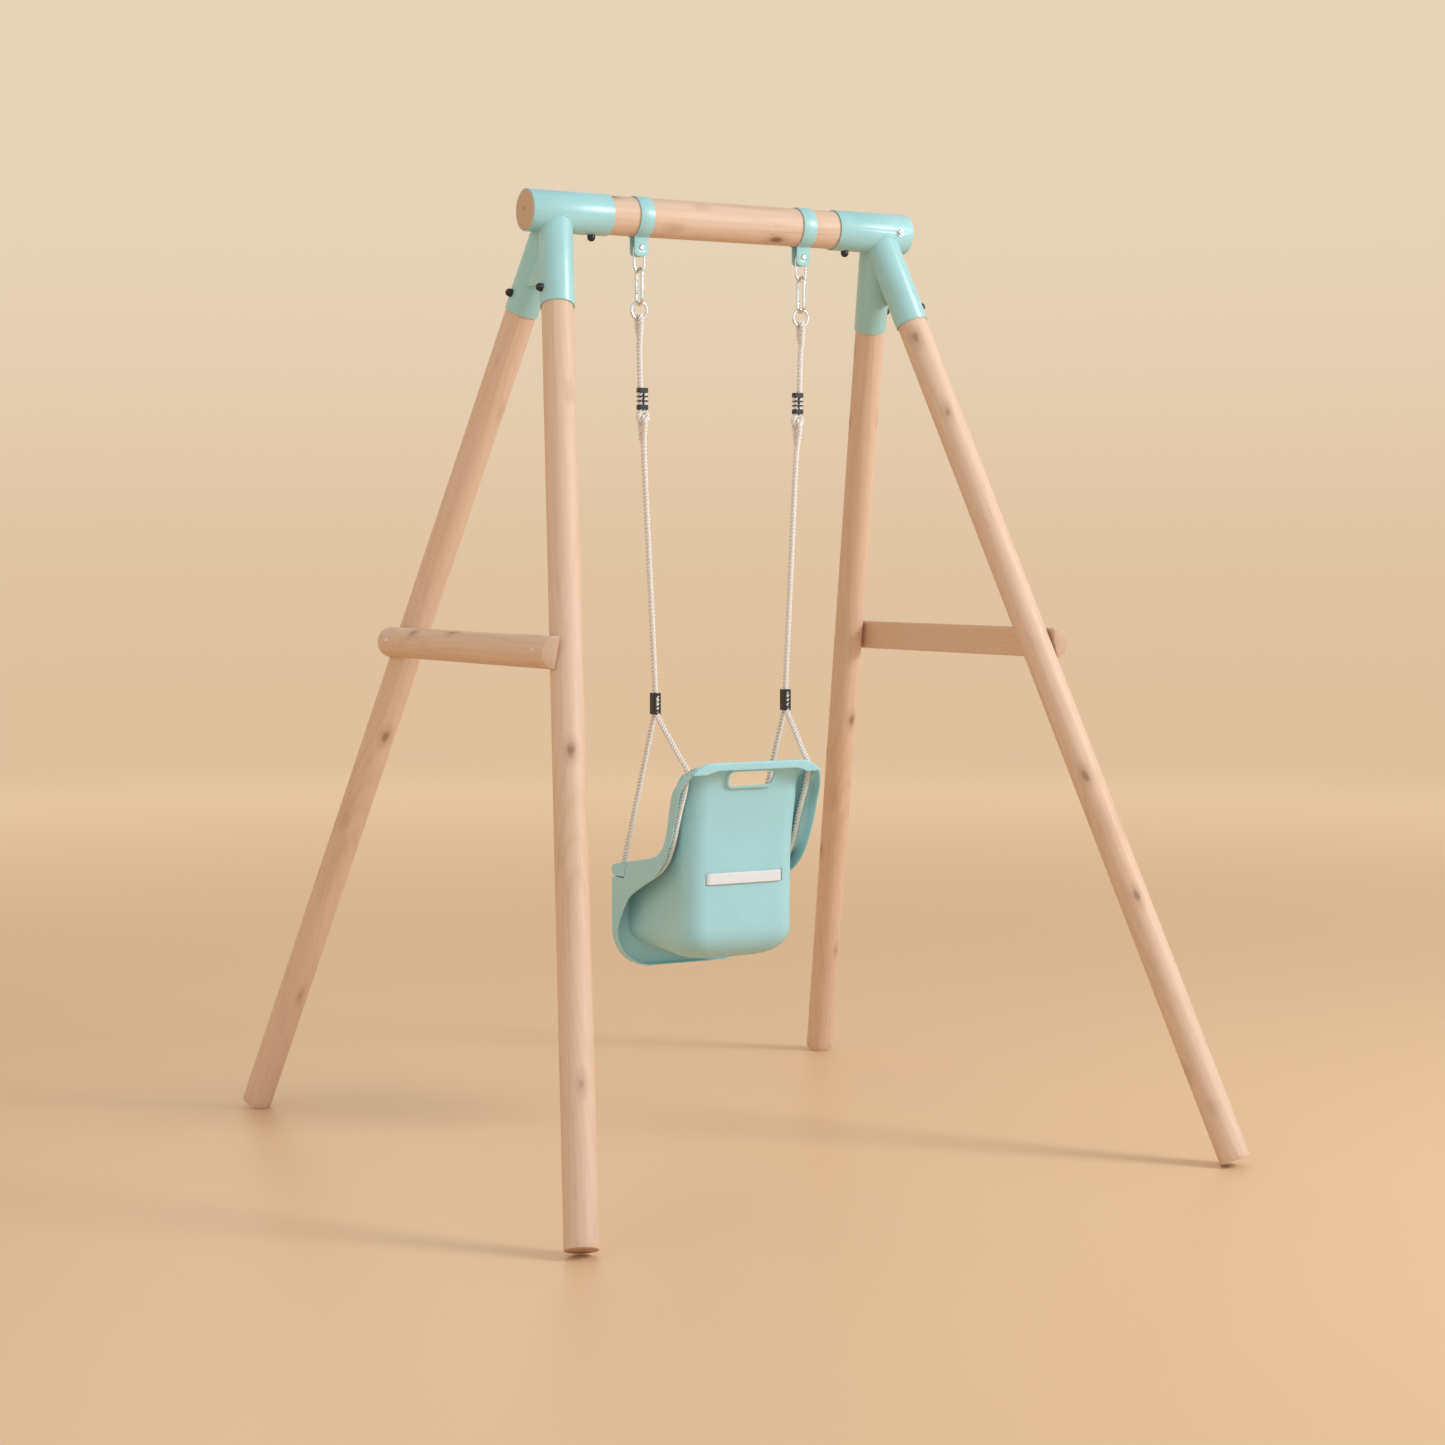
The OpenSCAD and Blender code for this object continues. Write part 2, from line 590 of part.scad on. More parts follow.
// Guard bar that slides up the two front strands
function bar_side() = concat(
    [for (a = [270 : -15 : 180]) [front_y + 16 + 16 * cos(a), 703 + 16 * sin(a)]],
    [for (a = [165 : -15 : 105]) [front_y + 16 + 16 * cos(a), 703 + 16 * sin(a)]],
    [[-185, 722], bar_rear(729, 0), bar_rear(687, 0)]);

module guard_bar() color(mint) difference() {
    union() {
        slab(-seat_w / 2, seat_w / 2) polygon(bar_side());
        translate([-24, front_y + 1, 560]) cube([48, 26, 130]);
        plate(front_y + 1, front_y + 27) translate([0, 545]) rounded(64, 38, 14);
        translate([-15, front_y + wall + 0.6, 506]) cube([30, 8, 40]);
    }
    both_sides() slab(28, 180) polygon([[-212, 680], [-212, 708], [-200, 716], bar_rear(723, -5),
        bar_rear(680, -5)]);
    both_sides() along(guard_hole - 80 * strand_dir, strand_dir) cylinder(r = rope_r + 0.8, h = 160);
}

// Waist belt: one webbing through both back slots, drooping to the buckle in front
function belt_half() = spline([[slot_x, 112], [117, 90], [118, 40], [104, -14], [72, -48], [30, -60]], 6);

module belt_front(side) translate([0, 112, belt_z]) rotate([belt_droop, 0, 0])
    translate([0, -112, -belt_w / 2]) linear_extrude(belt_w) mirror([side, 0])
        polygon(concat(beside(belt_half(), belt_t / 2), backward(beside(belt_half(), -belt_t / 2))));

module waist_belt() color("#e6e4e2") {
    translate([-slot_x - 2, 119.3, belt_z - belt_w / 2]) cube([2 * slot_x + 4, belt_t, belt_w]);
    for (x = [-slot_x, slot_x]) translate([x - 0.8, 111, belt_z - belt_w / 2]) cube([belt_t, 9.5, belt_w]);
    belt_front(0);
    belt_front(1);
}

module on_belt(x, y) translate([0, 112, belt_z]) rotate([belt_droop, 0, 0])
    translate([x, y - 112, 0]) children();

module belt_slider() color(black) on_belt(88, -34) rotate([0, 0, 48]) difference() {
    cube([24, 6, 38], center = true);
    for (x = [-6, 6]) translate([x, 0, 0]) cube([6, 2 * belt_t + 0.4, 32], center = true);
    cube([26, belt_t + 0.4, 32], center = true);
}

module buckle_socket() color(black) on_belt(0, -60) difference() {
    rotate([90, 0, 0]) linear_extrude(13, center = true) translate([-5, 0]) rounded(50, 38, 8);
    translate([-4, 3, 0]) rotate([90, 0, 0]) cylinder(r = 9.3, h = 30);
    translate([8, 0, 0]) cube([30, 5.4, 28], center = true);
    translate([-28, 0, 0]) cube([14, belt_t + 0.4, 31], center = true);
}

module buckle_tongue() color(black) on_belt(0, -60) difference() {
    union() {
        translate([14, 0, 0]) cube([16, 4.8, 26], center = true);
        translate([27, 0, 0]) cube([12, 9, 38], center = true);
    }
    translate([30, 0, 0]) cube([14, belt_t + 0.4, 31], center = true);
}

module buckle_button() color("#b9bcbf") on_belt(0, -60) translate([-4, -1, 0]) rotate([90, 0, 0])
    cylinder(r = 9, h = 6.5);

top_beam();
leg(-1, false);  // leg_front_left
leg(1, false);  // leg_rear_left
leg(1, true);  // leg_front_right
leg(-1, true);  // leg_rear_right
corner_bracket(false);  // bracket_left
corner_bracket(true);  // bracket_right
brace(false);  // brace_left
brace(true);  // brace_right
leg_bolts();
leg_cap_nuts();
beam_bolts();
beam_cap_nuts();
beam_side_screws();
brace_screws();
hanger_clamp();  // hanger_clamp_left
other_side(true) hanger_clamp();  // hanger_clamp_right
clamp_bolts();
clamp_washers();
clamp_nuts();
chain_link();  // chain_link_left
other_side(true) chain_link();  // chain_link_right
snap_hook();  // snap_hook_left
other_side(true) snap_hook();  // snap_hook_right
snap_gate();  // snap_gate_left
other_side(true) snap_gate();  // snap_gate_right
gate_pins();
rope_ring();  // rope_ring_left
other_side(true) rope_ring();  // rope_ring_right
rope(upper_route, false);  // upper_rope_left
rope(upper_route, true);  // upper_rope_right
rope_adjuster();  // rope_adjuster_left
other_side(true) rope_adjuster();  // rope_adjuster_right
rope(lower_route, false);  // lower_rope_left
rope(lower_route, true);  // lower_rope_right
rope_clip();  // rope_clip_left
other_side(true) rope_clip();  // rope_clip_right
rope(seat_route, false);  // seat_rope_left
rope(seat_route, true);  // seat_rope_right
seat_shell();
guard_bar();
waist_belt();
belt_slider();
buckle_socket();
buckle_tongue();
buckle_button();
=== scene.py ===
"""Baby swing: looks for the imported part. A moulded bucket seat hangs on laid ropes from a timber A-frame."""

import math

import bmesh
import bpy
import numpy as np
from bpy.props import FloatProperty, FloatVectorProperty, IntProperty, PointerProperty
from mathutils import Matrix, Vector


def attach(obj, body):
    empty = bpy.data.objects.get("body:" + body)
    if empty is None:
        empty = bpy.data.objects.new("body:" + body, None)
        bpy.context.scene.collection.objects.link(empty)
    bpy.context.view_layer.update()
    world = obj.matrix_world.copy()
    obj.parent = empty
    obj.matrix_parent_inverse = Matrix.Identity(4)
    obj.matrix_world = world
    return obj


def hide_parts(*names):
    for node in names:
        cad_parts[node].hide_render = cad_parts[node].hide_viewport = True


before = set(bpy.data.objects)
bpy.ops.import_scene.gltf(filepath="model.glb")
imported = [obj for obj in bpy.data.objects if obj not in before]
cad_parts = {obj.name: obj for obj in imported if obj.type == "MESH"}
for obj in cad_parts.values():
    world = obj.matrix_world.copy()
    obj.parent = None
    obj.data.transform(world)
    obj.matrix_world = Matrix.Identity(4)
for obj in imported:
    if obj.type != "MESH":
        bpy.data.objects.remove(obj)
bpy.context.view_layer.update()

bl_info = {
    "name": "Baby swing",
    "version": (1, 0, 0),
    "blender": (4, 5, 0),
    "location": "3D View > Sidebar > Swing",
    "description": "Builds a baby swing and its studio round the packed part",
    "category": "Object",
}

# Frame geometry, repeated from the part's source in metres
APEX = Vector((0.485, 0.0, 2.405))
FOOT = Vector((0.927, 0.985, 0.016475))
AXIS_LENGTH = (FOOT - APEX).length
LEG_RADIUS = 0.040
BEAM_RADIUS = 0.050
BEAM_LENGTH = 1.140
LEG_LENGTH = 2.500
BRACE_LENGTH = 0.970
BRACE_HEIGHT = 1.303
SPLAY = math.atan2(FOOT.x - APEX.x, APEX.z - FOOT.z)
OUTWARD = Vector((math.cos(SPLAY), 0.0, math.sin(SPLAY)))
DOWN = Vector((math.sin(SPLAY), 0.0, -math.cos(SPLAY)))
SLEEVE_RADIUS = 0.0435
BEAM_SLEEVE_RADIUS = 0.0535
SKIN = 0.0001

# Hangers and ropes, left side
HANG_X = 0.244
RING_Z = 2.168
RING_CENTRE = 0.0225
RING_BIGHT = 0.0096
EYE = 0.0118
EYE_X = 0.234
LOOP_Z = 1.883


# ---- settings


def colour(name, description, default):
    return FloatVectorProperty(
        name=name, description=description, default=default, subtype="COLOR", size=3, min=0, max=1
    )


def length(name, description, default):
    return FloatProperty(
        name=name, description=description, default=default, subtype="DISTANCE", unit="LENGTH"
    )


def number(name, description, default):
    return FloatProperty(name=name, description=description, default=default)


class SwingColours(bpy.types.PropertyGroup):
    timber: colour("Timber", "Main tone of the round timber", (0.73, 0.495, 0.335))
    timber_pale: colour("Pale timber", "Palest tone of the timber", (0.74, 0.56, 0.46))
    timber_dark: colour("Timber streaks", "Tone of the growth rings", (0.59, 0.37, 0.235))
    knot: colour("Knots", "Tone of the knots", (0.24, 0.10, 0.042))
    steel_paint: colour("Powder coat", "Paint of the brackets and clamps", (0.345, 0.62, 0.62))
    seat: colour("Seat", "Moulded plastic of the seat", (0.372, 0.668, 0.708))
    rope: colour("Rope", "Laid rope", (0.90, 0.84, 0.77))
    webbing: colour("Webbing", "Waist belt", (0.84, 0.85, 0.85))
    black: colour("Black plastic", "Rope fittings and caps", (0.012, 0.011, 0.010))
    zinc: colour("Zinc", "Plated steel", (0.76, 0.77, 0.78))


class SwingSizes(bpy.types.PropertyGroup):
    rope_diameter: length("Rope diameter", "Across the three strands", 0.0160)
    rope_lay: length("Rope lay", "Length of one turn of a strand", 0.030)
    rope_step: length("Rope step", "Distance between rings of the rope's mesh", 0.0021)
    shell_voxel: length("Shell detail", "Grid of the moulded shell's rounding", 0.0020)
    fitting_voxel: length("Fitting detail", "Grid of the small fittings' rounding", 0.0006)
    pole_sides: IntProperty(name="Pole sides", description="Flats round a pole's mesh", default=96, min=24)


class StageSettings(bpy.types.PropertyGroup):
    floor: colour("Floor", "Warm pale floor", (0.770, 0.522, 0.312))
    # The backdrop, paper and horizon tones are the colours the backdrop glows with: painted light
    backdrop: colour("Backdrop", "Paler tone high on the backdrop", (0.800, 0.650, 0.475))
    paper: colour("White paper", "Neutral paper round the rest of the studio", (0.84, 0.88, 0.92))
    horizon: colour("Horizon", "Tone low on the backdrop", (0.735, 0.530, 0.338))
    lens: number("Lens", "Focal length on a 36 mm sensor, in millimetres", 70.98)
    key: number("Key light", "Power of the key light", 316.0)
    fill: number("Fill light", "Power of the fill light", 26.0)
    world: number("Surround", "Strength of the surround", 0.42)


def colours():
    return bpy.context.scene.swing_colours


def sizes():
    return bpy.context.scene.swing_sizes


def stage_settings():
    return bpy.context.scene.swing_stage


# ---- materials


class Nodes:
    """A small helper that adds and links shader nodes."""

    def __init__(self, name):
        self.material = bpy.data.materials.new(name)
        self.material.use_nodes = True
        self.tree = self.material.node_tree
        self.shader = self.tree.nodes["Principled BSDF"]

    def add(self, kind, inputs=None, **settings):
        node = self.tree.nodes.new(kind)
        for key, value in settings.items():
            setattr(node, key, value)
        for key, value in (inputs or {}).items():
            self.set(node.inputs[key], value)
        return node

    def set(self, socket, value):
        if isinstance(value, bpy.types.NodeSocket):
            self.tree.links.new(value, socket)
        else:
            socket.default_value = value

    def finish(self, **inputs):
        for key, value in inputs.items():
            self.set(self.shader.inputs[key.replace("_", " ")], value)
        return self.material

    def place(self, scale=(1, 1, 1)):
        """The place on the piece, scaled."""
        here = self.add("ShaderNodeTexCoord").outputs["Object"]
        return self.add("ShaderNodeMapping", {"Vector": here, "Scale": scale}).outputs["Vector"]

    def lay(self):
        """The places along and across a rope or strap."""
        uv = self.add("ShaderNodeUVMap", uv_map="lay").outputs["UV"]
        split = self.add("ShaderNodeSeparateXYZ", {"Vector": uv})
        return split.outputs["X"], split.outputs["Y"]

    def noise(self, vector, scale, detail=3.0, roughness=0.5, distortion=0.0):
        inputs = {"Vector": vector, "Scale": scale, "Detail": detail, "Roughness": roughness}
        return self.add("ShaderNodeTexNoise", {**inputs, "Distortion": distortion}).outputs["Fac"]

    def span(self, value, low, high, out_low=0.0, out_high=1.0, eased=False):
        return self.add(
            "ShaderNodeMapRange",
            {"Value": value, "From Min": low, "From Max": high, "To Min": out_low, "To Max": out_high},
            interpolation_type="SMOOTHSTEP" if eased else "LINEAR",
        ).outputs["Result"]

    def math(self, operation, a, b=0.0):
        return self.add("ShaderNodeMath", {0: a, 1: b}, operation=operation).outputs["Value"]

    def plus(self, a, b):
        return self.math("ADD", a, b)

    def minus(self, a, b):
        return self.math("SUBTRACT", a, b)

    def times(self, a, b):
        return self.math("MULTIPLY", a, b)

    def wave(self, phase):
        """A sine wave between 0 and 1."""
        return self.span(self.math("SINE", phase), -1, 1)

    def vector(self, operation, a, b=(0, 0, 0)):
        node = self.add("ShaderNodeVectorMath", {0: a, 1: b}, operation=operation)
        return node.outputs["Value" if operation in ("LENGTH", "DOT_PRODUCT") else "Vector"]

    def mix(self, factor, a, b):
        node = self.add("ShaderNodeMix", data_type="RGBA")
        self.set(node.inputs["Factor"], factor)
        for socket, value in ((node.inputs[6], a), (node.inputs[7], b)):
            self.set(socket, value if isinstance(value, bpy.types.NodeSocket) else (*value, 1.0))
        return node.outputs[2]

    def bump(self, height, strength, distance):
        inputs = {"Height": height, "Strength": strength, "Distance": distance}
        return self.add("ShaderNodeBump", inputs).outputs["Normal"]


def tone(c, k):
    return tuple(min(1.0, v * k) for v in c)


# The timber's growth rings and the drift of its pith in metres, and how closely its knots lie
RING_PITCH = 0.0054636
END_RING_PITCH = 0.0033069
PITH_DRIFT = 0.10
KNOT_SCALE = 10.5


def timber_material():
    """Round-milled softwood: long growth-ring streaks, sparse knots, fine fibres."""
    c = colours()
    n = Nodes("round_timber")
    wander = n.noise(n.place((1.5, 1.5, 0.9)), 1.0, 2.0)
    slow = n.add("ShaderNodeTexNoise", {"Vector": n.place((2, 2, 0.8)), "Scale": 1.0, "Detail": 1.0})
    drift = n.vector("SUBTRACT", slow.outputs["Color"], (0.5, 0.5, 0.5))
    drift = n.vector("MULTIPLY", drift, (PITH_DRIFT, PITH_DRIFT, PITH_DRIFT))
    from_pith = n.vector("MULTIPLY", n.vector("ADD", n.place(), drift), (1, 1, 0))
    distance = n.vector("LENGTH", from_pith)
    fibres = n.noise(n.place((900, 900, 14)), 1.0, 2.0)
    rings = n.wave(n.plus(n.times(distance, 2 * math.pi / RING_PITCH), n.times(fibres, 1.4)))
    late_wood = n.math("POWER", rings, 2.2)
    streak = n.noise(n.place((260, 260, 3.0)), 1.0, 4.0, 0.6)
    base = n.mix(n.times(late_wood, 0.26), c.timber, c.timber_dark)
    base = n.mix(n.span(streak, 0.40, 0.75, 0, 0.34), base, tone(c.timber_dark, 0.92))
    base = n.mix(n.span(wander, 0.35, 0.7, 0, 0.45), base, c.timber_pale)
    stain = n.noise(n.place((7, 7, 2.2)), 1.0, 5.0, 0.62)
    base = n.mix(n.span(stain, 0.54, 0.74, 0, 0.50), base, tone(c.timber_dark, 0.80))
    knots = n.add(
        "ShaderNodeTexVoronoi", {"Vector": n.place((1, 1, 0.52)), "Scale": KNOT_SCALE, "Randomness": 1.0}
    ).outputs["Distance"]
    ragged = n.noise(n.place((60, 60, 30)), 1.0, 3.0, 0.6)
    knots = n.plus(knots, n.times(n.minus(ragged, 0.5), 0.11))
    base = n.mix(n.times(n.span(knots, 0.27, 0.10), 0.55), base, tone(c.timber_dark, 0.74))
    base = n.mix(n.times(n.span(knots, 0.135, 0.060), 0.85), base, c.knot)
    crack = n.noise(n.place((150, 150, 1.6)), 1.0, 1.0)
    line = n.times(n.span(n.math("ABSOLUTE", n.minus(crack, 0.5)), 0.006, 0.0), 0.55)
    cracked = n.times(line, n.span(n.noise(n.place((30, 30, 1.3)), 1.0, 0.0), 0.60, 0.66))
    base = n.mix(cracked, base, tone(c.knot, 0.8))
    height = n.minus(n.times(fibres, 0.6), n.times(cracked, 2.0))
    height = n.plus(height, n.times(late_wood, 0.35))
    return n.finish(
        Base_Color=base,
        Roughness=n.span(fibres, 0, 1, 0.46, 0.62),
        Normal=n.bump(height, 0.35, 0.0006),
    )


def end_grain_material():
    """Sawn end of a pole: growth rings round the pith, with open pores."""
    c = colours()
    n = Nodes("end_grain")
    wobble = n.noise(n.place((9, 9, 9)), 1.0, 2.0)
    radius = n.vector("LENGTH", n.vector("ADD", n.place((1, 1, 0)), (0.006, -0.004, 0.0)))
    rings = n.wave(n.plus(n.times(radius, 2 * math.pi / END_RING_PITCH), n.times(wobble, 5.0)))
    pores = n.noise(n.place((1400, 1400, 200)), 1.0, 2.0)
    base = n.mix(n.times(rings, 0.5), tone(c.timber, 0.92), tone(c.timber_dark, 0.75))
    base = n.mix(n.span(pores, 0.4, 0.7, 0, 0.35), base, tone(c.timber_dark, 0.6))
    base = n.mix(n.span(radius, 0.006, 0.001), base, c.knot)
    return n.finish(Base_Color=base, Roughness=0.78, Normal=n.bump(n.plus(rings, pores), 0.4, 0.0005))


def powder_coat_material():
    """Satin powder coat with its fine orange peel, and a painted highlight that makes it a little lighter
    along edges, in patches.
    """
    c = colours()
    n = Nodes("powder_coat")
    here = n.place()
    peel = n.noise(here, 700.0, 2.0)
    cloud = n.noise(here, 9.0, 3.0)
    base = n.mix(n.span(cloud, 0.3, 0.7), tone(c.steel_paint, 0.95), tone(c.steel_paint, 1.05))
    # painted highlight: the paint is lighter on sharp convex edges, in patches
    edge = n.add("ShaderNodeNewGeometry").outputs["Pointiness"]
    painted_edge_highlight = n.times(n.span(edge, 0.53, 0.60), n.span(n.noise(here, 120.0, 4.0), 0.5, 0.62))
    base = n.mix(n.times(painted_edge_highlight, 0.45), base, tone(c.steel_paint, 1.35))
    return n.finish(
        Base_Color=base,
        Roughness=n.span(peel, 0.3, 0.7, 0.30, 0.42),
        Coat_Weight=0.25,
        Coat_Roughness=0.22,
        Normal=n.bump(peel, 0.12, 0.0003),
    )


def moulded_material():
    """Moulded plastic: fine spark-eroded grain, faint flow marks, soft scatter."""
    c = colours()
    n = Nodes("moulded_plastic")
    here = n.place()
    grain = n.noise(here, 1500.0, 2.0)
    cloud = n.noise(here, 5.0, 2.0, 0.5, 0.6)
    base = n.mix(n.span(cloud, 0.3, 0.7), tone(c.seat, 0.965), tone(c.seat, 1.035))
    scuff = n.noise(n.place((40, 220, 60)), 1.0, 5.0, 0.7)
    base = n.mix(n.span(scuff, 0.66, 0.82, 0, 0.12), base, tone(c.seat, 1.25))
    return n.finish(
        Base_Color=base,
        Roughness=n.span(scuff, 0.3, 0.8, 0.36, 0.50),
        Subsurface_Weight=0.12,
        Subsurface_Radius=(0.006, 0.009, 0.008),
        Subsurface_Scale=0.6,
        Normal=n.bump(grain, 0.10, 0.00025),
    )


def rope_material():
    """Laid rope: yarns run almost straight along the rope on every strand, with painted shade between the
    yarns and in the grooves between strands.
    """
    c = colours()
    n = Nodes("laid_rope")
    along, across = n.lay()
    yarn = n.wave(n.plus(n.times(along, 620.0), n.times(across, 30.0)))
    fuzz = n.noise(n.place(), 2400.0, 3.0)
    cloud = n.noise(n.place(), 30.0, 2.0)
    # painted shade: darker between the yarns, where the yarn bump is low
    base = n.mix(n.times(n.minus(1.0, yarn), 0.20), c.rope, tone(c.rope, 0.66))
    # painted shade: each strand darkens towards its edges, in the grooves between strands
    painted_groove_shade = n.span(n.math("ABSOLUTE", n.minus(across, 0.5)), 0.34, 0.5)
    base = n.mix(n.times(painted_groove_shade, 0.50), base, tone(c.rope, 0.50))
    base = n.mix(n.span(cloud, 0.35, 0.7, 0, 0.16), base, tone(c.rope, 0.86))
    height = n.plus(n.times(yarn, 0.7), n.times(fuzz, 0.4))
    return n.finish(
        Base_Color=base,
        Roughness=0.82,
        Sheen_Weight=0.35,
        Sheen_Roughness=0.5,
        Normal=n.bump(height, 0.55, 0.0005),
    )


# Threads and ribs of the belt, in metres
WARP_PITCH = 0.0016
WEFT_PITCH = 0.0022
RIB_PITCH = 0.0074


def webbing_material():
    """Belt webbing: a fine weave over broad ribs, with painted shade where the threads dip."""
    c = colours()
    n = Nodes("belt_webbing")
    along, across = n.lay()
    turn = 2 * math.pi
    warp = n.math("SINE", n.times(across, turn / WARP_PITCH))
    weft = n.math("SINE", n.times(along, turn / WEFT_PITCH))
    weave = n.span(n.times(warp, weft), -1, 1)
    rib = n.wave(n.times(across, turn / RIB_PITCH))
    # painted shade: darker where the weave's threads dip, where its bump is low
    base = n.mix(n.times(n.minus(1.0, weave), 0.28), c.webbing, tone(c.webbing, 0.66))
    base = n.mix(n.span(n.noise(n.place(), 60.0, 3.0), 0.4, 0.7, 0, 0.12), base, tone(c.webbing, 0.85))
    height = n.plus(weave, n.times(rib, 0.5))
    return n.finish(Base_Color=base, Roughness=0.72, Sheen_Weight=0.3, Normal=n.bump(height, 0.6, 0.0004))


def black_material(name, roughness):
    """Black nylon with a fine moulded grain and light rubbing."""
    c = colours()
    n = Nodes(name)
    here = n.place()
    grain = n.noise(here, 2200.0, 2.0)
    rub = n.noise(here, 90.0, 5.0, 0.7)
    base = n.mix(n.span(rub, 0.55, 0.8, 0, 0.35), c.black, tone(c.black, 3.5))
    return n.finish(
        Base_Color=base,
        Roughness=n.span(rub, 0.3, 0.8, roughness, roughness + 0.14),
        Normal=n.bump(grain, 0.12, 0.0002),
    )


def zinc_material(name="zinc_plate", brightness=1.0):
    """Bright zinc plate, faintly cloudy, with fine drawing lines."""
    c = colours()
    n = Nodes(name)
    here = n.place()
    cloud = n.noise(here, 60.0, 4.0, 0.6)
    fine = n.noise(n.place((800, 800, 3000)), 1.0, 2.0)
    base = n.mix(n.span(cloud, 0.3, 0.7), tone(c.zinc, 0.86 * brightness), tone(c.zinc, 1.08 * brightness))
    return n.finish(
        Base_Color=base,
        Metallic=1.0,
        Roughness=n.span(cloud, 0.3, 0.75, 0.22, 0.38),
        Normal=n.bump(fine, 0.08, 0.0002),
    )


def grey_button_material():
    """Light grey release button with a fine moulded grain."""
    n = Nodes("release_button")
    here = n.place()
    grain = n.noise(here, 1800.0, 2.0)
    cloud = n.noise(here, 40.0, 3.0)
    base = n.mix(n.span(cloud, 0.3, 0.7), (0.42, 0.43, 0.44), (0.48, 0.49, 0.50))
    return n.finish(Base_Color=base, Roughness=0.5, Normal=n.bump(grain, 0.12, 0.0002))


MAKERS = {
    "timber": timber_material,
    "end_grain": end_grain_material,
    "powder_coat": powder_coat_material,
    "moulded": moulded_material,
    "rope": rope_material,
    "webbing": webbing_material,
    "black": lambda: black_material("black_nylon", 0.34),
    "cap": lambda: black_material("black_cap", 0.22),
    "zinc": zinc_material,
    "screw": lambda: zinc_material("screw_plate", 0.55),
    "button": grey_button_material,
}
_made = {}


def material(name):
    if name not in _made:
        _made[name] = MAKERS[name]()
    return _made[name]


# ---- meshes


def piece(name, points, faces, *materials, at=None):
    """A new mesh object in the row frame, or in the local frame `at`."""
    mesh = bpy.data.meshes.new(name)
    mesh.from_pydata([tuple(p) for p in points], [], faces)
    mesh.validate()
    for m in materials:
        mesh.materials.append(m)
    mesh.polygons.foreach_set("use_smooth", [True] * len(mesh.polygons))
    obj = bpy.data.objects.new(name, mesh)
    bpy.context.scene.collection.objects.link(obj)
    if at is not None:
        obj.matrix_world = at
    return obj


def circle(count):
    """Even angles round a full turn."""
    return np.arange(count) * 2 * math.pi / count


def tube_faces(rings, around, closed=False):
    faces = []
    for i in range(rings if closed else rings - 1):
        a, b = i * around, (i + 1) % rings * around
        faces += [(a + k, a + (k + 1) % around, b + (k + 1) % around, b + k) for k in range(around)]
    return faces


def capped_tube(rings, around):
    """A tube's faces, with both of its ends closed."""
    last = (rings - 1) * around
    return tube_faces(rings, around) + [tuple(range(around))[::-1], tuple(range(last, last + around))]


def tube_points(line, side, other, radius, angle):
    """Rings of points round a line. The radius and angle may change from ring to ring."""
    aside = (radius * np.cos(angle))[..., None] * side[:, None]
    return (line[:, None] + aside + (radius * np.sin(angle))[..., None] * other[:, None]).reshape(-1, 3)


def headings(line):
    heading = np.gradient(np.asarray(line, float), axis=0)
    return heading / np.linalg.norm(heading, axis=1)[:, None]


def square_to(line):
    """Two directions square to a line, which turn as little as they can."""
    heading = headings(line)
    side = np.zeros_like(heading)
    u = np.array((0.6, 0.8, 0.0))
    for i, h in enumerate(heading):
        u = u - u.dot(h) * h
        u /= np.linalg.norm(u)
        side[i] = u
    return side, np.cross(heading, side)


def distance_along(line):
    return np.concatenate([[0], np.cumsum(np.linalg.norm(np.diff(line, axis=0), axis=1))])


def curve_through(points, step):
    """A smooth curve through the points (centripetal), sampled every step."""

    def between(p, q, start, end):
        return (end - t) / (end - start) * p + (t - start) / (end - start) * q

    p = np.asarray(points, float)
    p = np.vstack([2 * p[0] - p[1], p, 2 * p[-1] - p[-2]])
    out = []
    for a, b, c, d in zip(p, p[1:], p[2:], p[3:]):
        t1, t2, t3 = np.cumsum([np.linalg.norm(v) ** 0.5 for v in (b - a, c - b, d - c)])
        count = max(2, int(np.linalg.norm(c - b) / step * 2))
        t = np.linspace(t1, t2, count, endpoint=False)[:, None]
        ab, bc, cd = between(a, b, 0.0, t1), between(b, c, t1, t2), between(c, d, t2, t3)
        out.append(between(between(ab, bc, 0.0, t2), between(bc, cd, t1, t3), t1, t2))
    line = np.vstack(out + [p[-2][None]])
    along = distance_along(line)
    at = np.linspace(0, along[-1], int(along[-1] / step) + 2)
    return np.stack([np.interp(at, along, line[:, k]) for k in range(3)], axis=1)


def frame_of(x, y, z, origin):
    m = Matrix((x, y, z)).transposed().to_4x4()
    m.translation = Vector(origin)
    return m


def axes(origin, up):
    """A local frame with its Z along up."""
    z = Vector(up).normalized()
    x = Vector((0, 0, 1)).cross(z)
    if x.length < 1e-6:
        x = Vector((1, 0, 0)).cross(z)
    x.normalize()
    return frame_of(x, z.cross(x), z, origin)


def aimed(place, back):
    """A lamp's or camera's frame, which looks along -back."""
    return Matrix.Translation(place) @ back.to_track_quat("Z", "Y").to_matrix().to_4x4()


def reshaped(mesh, change):
    """Opens a mesh for one change, and writes it back."""
    work = bmesh.new()
    work.from_mesh(mesh)
    change(work)
    work.to_mesh(mesh)
    work.free()


def copy_of(node, name):
    """A separate piece with the CAD node's mesh, its split faces joined again."""
    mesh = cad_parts[node].data.copy()
    mesh.materials.clear()
    obj = bpy.data.objects.new(name, mesh)
    bpy.context.scene.collection.objects.link(obj)
    reshaped(mesh, lambda work: bmesh.ops.remove_doubles(work, verts=work.verts, dist=1e-6))
    if mesh.has_custom_normals:
        with bpy.context.temp_override(object=obj, active_object=obj, selected_objects=[obj]):
            bpy.ops.mesh.customdata_custom_splitnormals_clear()
    return obj


